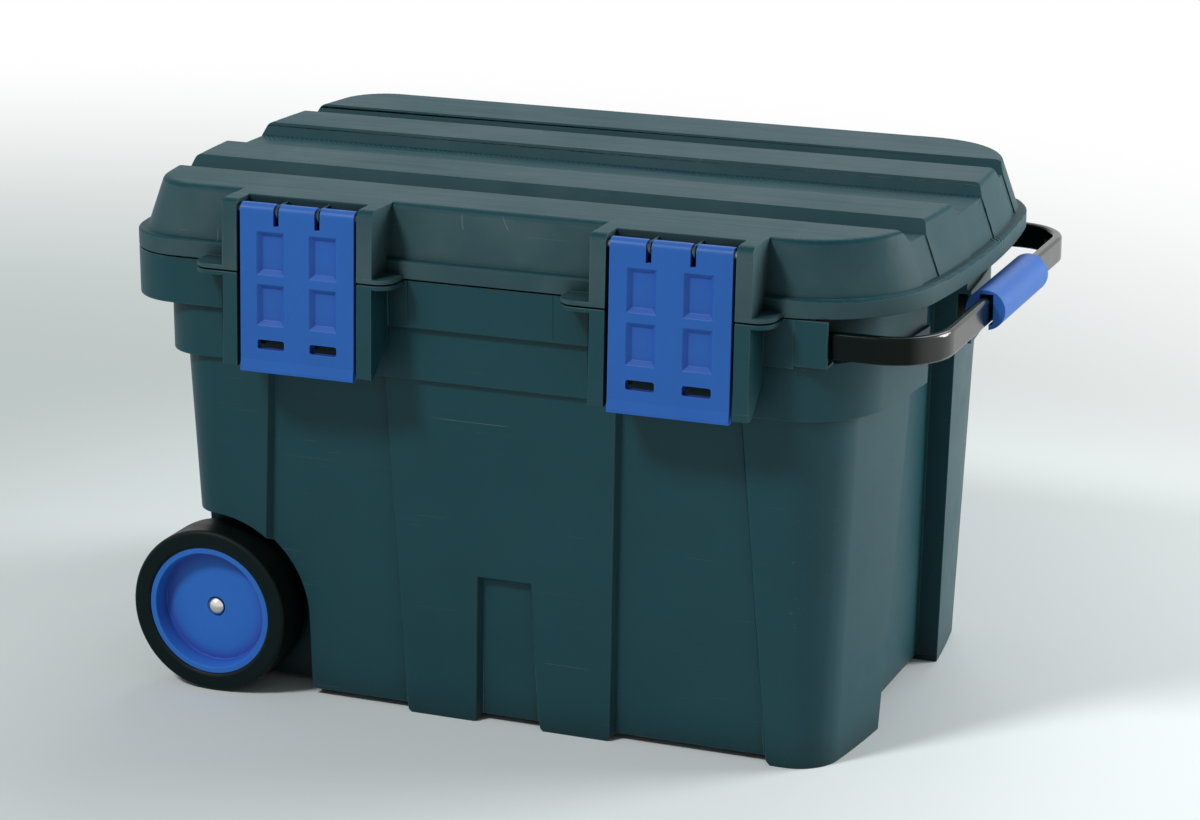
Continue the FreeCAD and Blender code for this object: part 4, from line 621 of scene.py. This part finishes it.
def room_at_edges(name):
    """Nodes that give each sharp edge a bevel weight, less where small facets are beside it."""
    shape = ShapeNodes(name, Radius="Float")
    whole = shape.given["Geometry"]
    ends = shape.add("GeometryNodeInputMeshEdgeVertices").outputs
    long = shape.vectors("DISTANCE", ends["Position 1"], ends["Position 2"])
    shortest = shape.add("GeometryNodeEdgesOfVertex", {"Weights": long}).outputs["Edge Index"]

    def sampled(value, index, domain):
        inputs = {"Geometry": whole, "Value": value, "Index": index}
        kind = "GeometryNodeSampleIndex"
        return shape.add(kind, inputs, data_type="FLOAT", domain=domain).outputs[0]

    room = sampled(long, shortest, "EDGE")
    room = shape.maths(
        "MINIMUM",
        sampled(room, ends["Vertex Index 1"], "POINT"),
        sampled(room, ends["Vertex Index 2"], "POINT"),
    )
    needed = shape.maths("MULTIPLY", shape.given["Radius"], ROOM_FOR_RADIUS)
    weight = shape.maths("MINIMUM", shape.maths("DIVIDE", room, needed), 1.0)
    angle = shape.add("GeometryNodeInputMeshEdgeAngle").outputs["Unsigned Angle"]
    sharp = shape.maths("GREATER_THAN", angle, SHARP_EDGE)
    stored = {
        "Geometry": whole,
        "Name": "bevel_weight_edge",
        "Value": shape.maths("MULTIPLY", weight, sharp),
    }
    kind = "GeometryNodeStoreNamedAttribute"
    return shape.end(shape.add(kind, stored, data_type="FLOAT", domain="EDGE").outputs[0])


def kept_inside(name):
    """Nodes that hold a piece's points between two corners of a box."""
    shape = ShapeNodes(name, Low="Vector", High="Vector")
    place = shape.add("GeometryNodeInputPosition").outputs[0]
    place = shape.vectors("MAXIMUM", place, shape.given["Low"])
    place = shape.vectors("MINIMUM", place, shape.given["High"])
    moved = {"Geometry": shape.given["Geometry"], "Position": place}
    return shape.end(shape.add("GeometryNodeSetPosition", moved).outputs[0])


def run_group(node, name, build, **values):
    """Adds a modifier that runs a group of geometry nodes, built when it is first needed."""
    modifier = node.modifiers.new(name, "NODES")
    group = bpy.data.node_groups.get(build.__name__) or build(build.__name__)
    modifier.node_group = group
    for socket, value in values.items():
        modifier[group.interface.items_tree[socket].identifier] = value


def soften(node, radius, cut=None):
    """Joins the node's facets and rounds its sharp edges, without a change to its mesh.

    Joined faces with cut corners or more are divided into triangles before that."""
    weld = node.modifiers.new("Weld", "WELD")
    weld.merge_threshold = WELD_DISTANCE
    flat = node.modifiers.new("Flat Faces", "DECIMATE")
    flat.decimate_type = "DISSOLVE"
    flat.angle_limit = FLAT_ENOUGH
    if cut:
        node.modifiers.new("Cut", "TRIANGULATE").min_vertices = cut
    run_group(node, "Room", room_at_edges, Radius=radius)
    bevel = node.modifiers.new("Edge", "BEVEL")
    bevel.width = radius
    bevel.segments = 3
    bevel.limit_method = "WEIGHT"
    bevel.use_clamp_overlap = False
    bevel.harden_normals = True
    bevel.miter_outer = "MITER_ARC"
    low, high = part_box(node.name)
    run_group(node, "Inside", kept_inside, Low=low, High=high)
    normals = node.modifiers.new("Shade", "WEIGHTED_NORMAL")
    normals.keep_sharp = True


def dress(names, material, radius=None, cut=None):
    """Gives pieces their material and, with a radius, rounded edges."""
    for name in names:
        node = NODES[name]
        node.data.materials.clear()
        node.data.materials.append(material)
        if radius:
            soften(node, radius, cut)


# ---- operators ---------------------------------------------------------------------------


class STORAGEBOX_OT_shell(bpy.types.Operator):
    """Finish the tub, the lid and the handle's guides in dark moulded plastic"""

    bl_idname = "storagebox.shell"
    bl_label = "Tub and Lid"

    def execute(self, context):
        settings = context.scene.storagebox_shell
        tub = moulded_plastic(
            "tub_plastic", settings, settings.tub_haze, settings.tub_gloss, rim_marks
        )
        lid = moulded_plastic(
            "lid_plastic", settings, settings.lid_haze, settings.lid_gloss, valley_ribs, lid_scars
        )
        dress(["base_tub"], tub, settings.edge, cut=5)
        dress(["lid_shell"], lid, settings.edge)
        dress([f"handle_guide_{end}" for end in ENDS], tub, settings.edge / 2)
        return {"FINISHED"}


class STORAGEBOX_OT_latches(bpy.types.Operator):
    """Finish the two latches in blue plastic"""

    bl_idname = "storagebox.latches"
    bl_label = "Latches"

    def execute(self, context):
        settings = context.scene.storagebox_latch
        blue = blue_plastic("latch_blue", settings, settings.colour)
        dress([f"latch_{side}" for side in SIDES], blue, settings.edge)
        return {"FINISHED"}


class STORAGEBOX_OT_wheels(bpy.types.Operator):
    """Finish hubs, tyres, caps, washers and the axle"""

    bl_idname = "storagebox.wheels"
    bl_label = "Wheels and Axle"

    def execute(self, context):
        settings = context.scene.storagebox_wheel
        steel = context.scene.storagebox_steel
        latch = context.scene.storagebox_latch
        blue = blue_plastic("wheel_blue", latch, latch.hub)
        dress([f"wheel_hub_{end}" for end in ENDS], blue, settings.edge)
        dress([f"tyre_{end}" for end in ENDS], tyre_rubber(settings), settings.edge)
        bright = plated_steel("cap_bright", steel.cap, roughness=0.20, stretch=(1.0, 1.0, 1.0))
        dress([f"axle_cap_{end}" for end in ENDS], bright, settings.edge / 3)
        plated = plated_steel("zinc_plate", steel.colour, roughness=0.34, stretch=(1.0, 0.2, 1.0))
        dress(["axle"], plated, settings.edge / 2)
        dress([f"wheel_washer_{end}" for end in ENDS], plated, settings.edge / 2)
        return {"FINISHED"}


class STORAGEBOX_OT_handle(bpy.types.Operator):
    """Finish the pull handle's tube, grip, shoes and rivets"""

    bl_idname = "storagebox.handle"
    bl_label = "Pull Handle"

    def execute(self, context):
        settings = context.scene.storagebox_handle
        dress(["handle_bar"], gloss_paint(settings))
        dress(["handle_grip"], bpy.data.materials["latch_blue"], settings.edge)
        dress([f"arm_shoe_{end}" for end in ENDS], black_plastic(), settings.edge)
        plated = bpy.data.materials["zinc_plate"]
        dress([f"shoe_rivet_{end}" for end in ENDS], plated, settings.edge / 2)
        return {"FINISHED"}


class STORAGEBOX_OT_pins(bpy.types.Operator):
    """Finish the pins of the latches and the hinges in plated steel"""

    bl_idname = "storagebox.pins"
    bl_label = "Pins"

    def execute(self, context):
        plated = bpy.data.materials["zinc_plate"]
        pins = [f"{kind}_pin_{side}" for kind in ("latch", "hinge") for side in SIDES]
        dress(pins, plated, context.scene.storagebox_handle.edge / 2)
        return {"FINISHED"}


class STORAGEBOX_OT_stage(bpy.types.Operator):
    """Lay the pale floor, hang the soft lamps and set up the camera"""

    bl_idname = "storagebox.stage"
    bl_label = "Studio"

    def execute(self, context):
        settings = context.scene.storagebox_studio
        self.lay_floor(context, settings)
        self.fill_world(context)
        for name, place, width, part in LAMPS:
            self.hang_lamp(context, name, place, width, settings.light * part)
        self.set_camera(context, settings)
        context.scene.view_settings.view_transform = "Standard"
        return {"FINISHED"}

    def lay_floor(self, context, settings):
        """A round floor of pale paper."""
        mesh = bpy.data.meshes.new("floor")
        form = bmesh.new()
        bmesh.ops.create_circle(form, cap_ends=True, segments=96, radius=FLOOR_RADIUS)
        form.to_mesh(mesh)
        form.free()
        mesh.materials.append(self.floor_paper(settings))
        floor = bpy.data.objects.new("floor", mesh)
        context.scene.collection.objects.link(floor)

    def floor_paper(self, settings):
        """Paper that takes shadows near the box, and farther out is seen as a glow that turns
        white."""
        paper = Finish("floor_paper")
        grain = paper.noise(size=0.004, detail=4.0, roughness=0.6)
        (across,) = paper.axes(paper.place, "X")
        tone = paper.tinted(settings.floor, amount=0.015, by=paper.noise(size=0.25))
        # Painted light: the floor colour gets lighter towards the right.
        painted_light_on_right = paper.band(across, low=-0.3, high=0.7)
        paper.finish(
            Base_Color=paper.mix(painted_light_on_right, tone, tuple(settings.bright_floor)),
            Roughness=paper.band(grain, low=0.0, high=1.0, first=0.75, last=0.85),
            Normal=paper.bump(grain, distance=0.00005, strength=0.2),
        )
        from_box = paper.vectors("DISTANCE", paper.place, (0.0, 0.0, 0.0))
        farther = paper.band(from_box, low=0.42, high=0.95)
        from_haze = paper.vectors("DISTANCE", paper.place, HAZE_MIDDLE)
        white = paper.band(from_haze, low=0.6, high=2.3)
        haze = paper.mix(white, tuple(settings.backdrop), WHITE)
        glow = paper.add("ShaderNodeEmission", {"Color": haze, "Strength": 1.0})
        seen = paper.seen_by("Camera", "Glossy", "Transmission")
        inputs = {
            0: paper.maths("MULTIPLY", farther, seen),
            1: paper.shader.outputs[0],
            2: glow.outputs[0],
        }
        mix = paper.add("ShaderNodeMixShader", inputs)
        paper.set(paper.tree.nodes["Material Output"], "Surface", mix.outputs[0])
        return paper.material

    def fill_world(self, context):
        """Even pale light from all round, which the camera and reflections see as white."""
        world = bpy.data.worlds.new("studio")
        world.use_nodes = True
        context.scene.world = world
        sky = Nodes(world.node_tree)
        light = sky.tree.nodes["Background"]
        sky.set(light, "Color", SKY)
        sky.set(light, "Strength", SKY_STRENGTH)
        white = sky.add("ShaderNodeBackground", {"Color": WHITE})
        seen = sky.seen_by("Camera", "Glossy", "Transmission")
        inputs = {0: seen, 1: light.outputs[0], 2: white.outputs[0]}
        mix = sky.add("ShaderNodeMixShader", inputs)
        sky.set(sky.tree.nodes["World Output"], "Surface", mix.outputs[0])

    def hang_lamp(self, context, name, place, width, power):
        """A round lamp that shines at the middle of the box."""
        lamp = bpy.data.lights.new(name, "AREA")
        lamp.shape = "DISK"
        lamp.size = width
        lamp.energy = power
        hung = bpy.data.objects.new(name, lamp)
        hung.location = place
        aim = Vector(AIM) - Vector(place)
        hung.rotation_euler = aim.to_track_quat("-Z", "Y").to_euler()
        context.scene.collection.objects.link(hung)

    def set_camera(self, context, settings):
        data = bpy.data.cameras.new("camera")
        data.lens = settings.lens
        data.sensor_width = SENSOR_WIDTH
        camera = bpy.data.objects.new("camera", data)
        camera.location = settings.eye
        camera.rotation_euler = (math.pi / 2 - settings.elevation, 0.0, settings.azimuth)
        context.scene.collection.objects.link(camera)
        context.scene.camera = camera


class STORAGEBOX_PT_panel(bpy.types.Panel):
    """The storage box's settings and steps"""

    bl_idname = "STORAGEBOX_PT_panel"
    bl_label = "Storage Box"
    bl_space_type = "VIEW_3D"
    bl_region_type = "UI"
    bl_category = "Storage Box"

    def draw(self, context):
        for name, (group, operators) in STEPS.items():
            box = self.layout.box()
            settings = getattr(context.scene, name)
            for key in group.__annotations__:
                box.prop(settings, key)
            for operator in operators:
                box.operator(operator.bl_idname)


STEPS = {
    "storagebox_shell": (ShellSettings, [STORAGEBOX_OT_shell]),
    "storagebox_latch": (LatchSettings, [STORAGEBOX_OT_latches]),
    "storagebox_wheel": (WheelSettings, [STORAGEBOX_OT_wheels]),
    "storagebox_steel": (SteelSettings, []),
    "storagebox_handle": (HandleSettings, [STORAGEBOX_OT_handle, STORAGEBOX_OT_pins]),
    "storagebox_studio": (StudioSettings, [STORAGEBOX_OT_stage]),
}


def register():
    for name, (group, operators) in STEPS.items():
        bpy.utils.register_class(group)
        setattr(bpy.types.Scene, name, PointerProperty(type=group))
        for operator in operators:
            bpy.utils.register_class(operator)
    bpy.utils.register_class(STORAGEBOX_PT_panel)


def unregister():
    bpy.utils.unregister_class(STORAGEBOX_PT_panel)
    for name, (group, operators) in reversed(STEPS.items()):
        for operator in operators:
            bpy.utils.unregister_class(operator)
        delattr(bpy.types.Scene, name)
        bpy.utils.unregister_class(group)


def main():
    register()
    bpy.ops.storagebox.shell()
    bpy.ops.storagebox.latches()
    bpy.ops.storagebox.wheels()
    bpy.ops.storagebox.handle()
    bpy.ops.storagebox.pins()
    bpy.ops.storagebox.stage()
    bpy.context.view_layer.update()


if __name__ == "__main__":
    main()
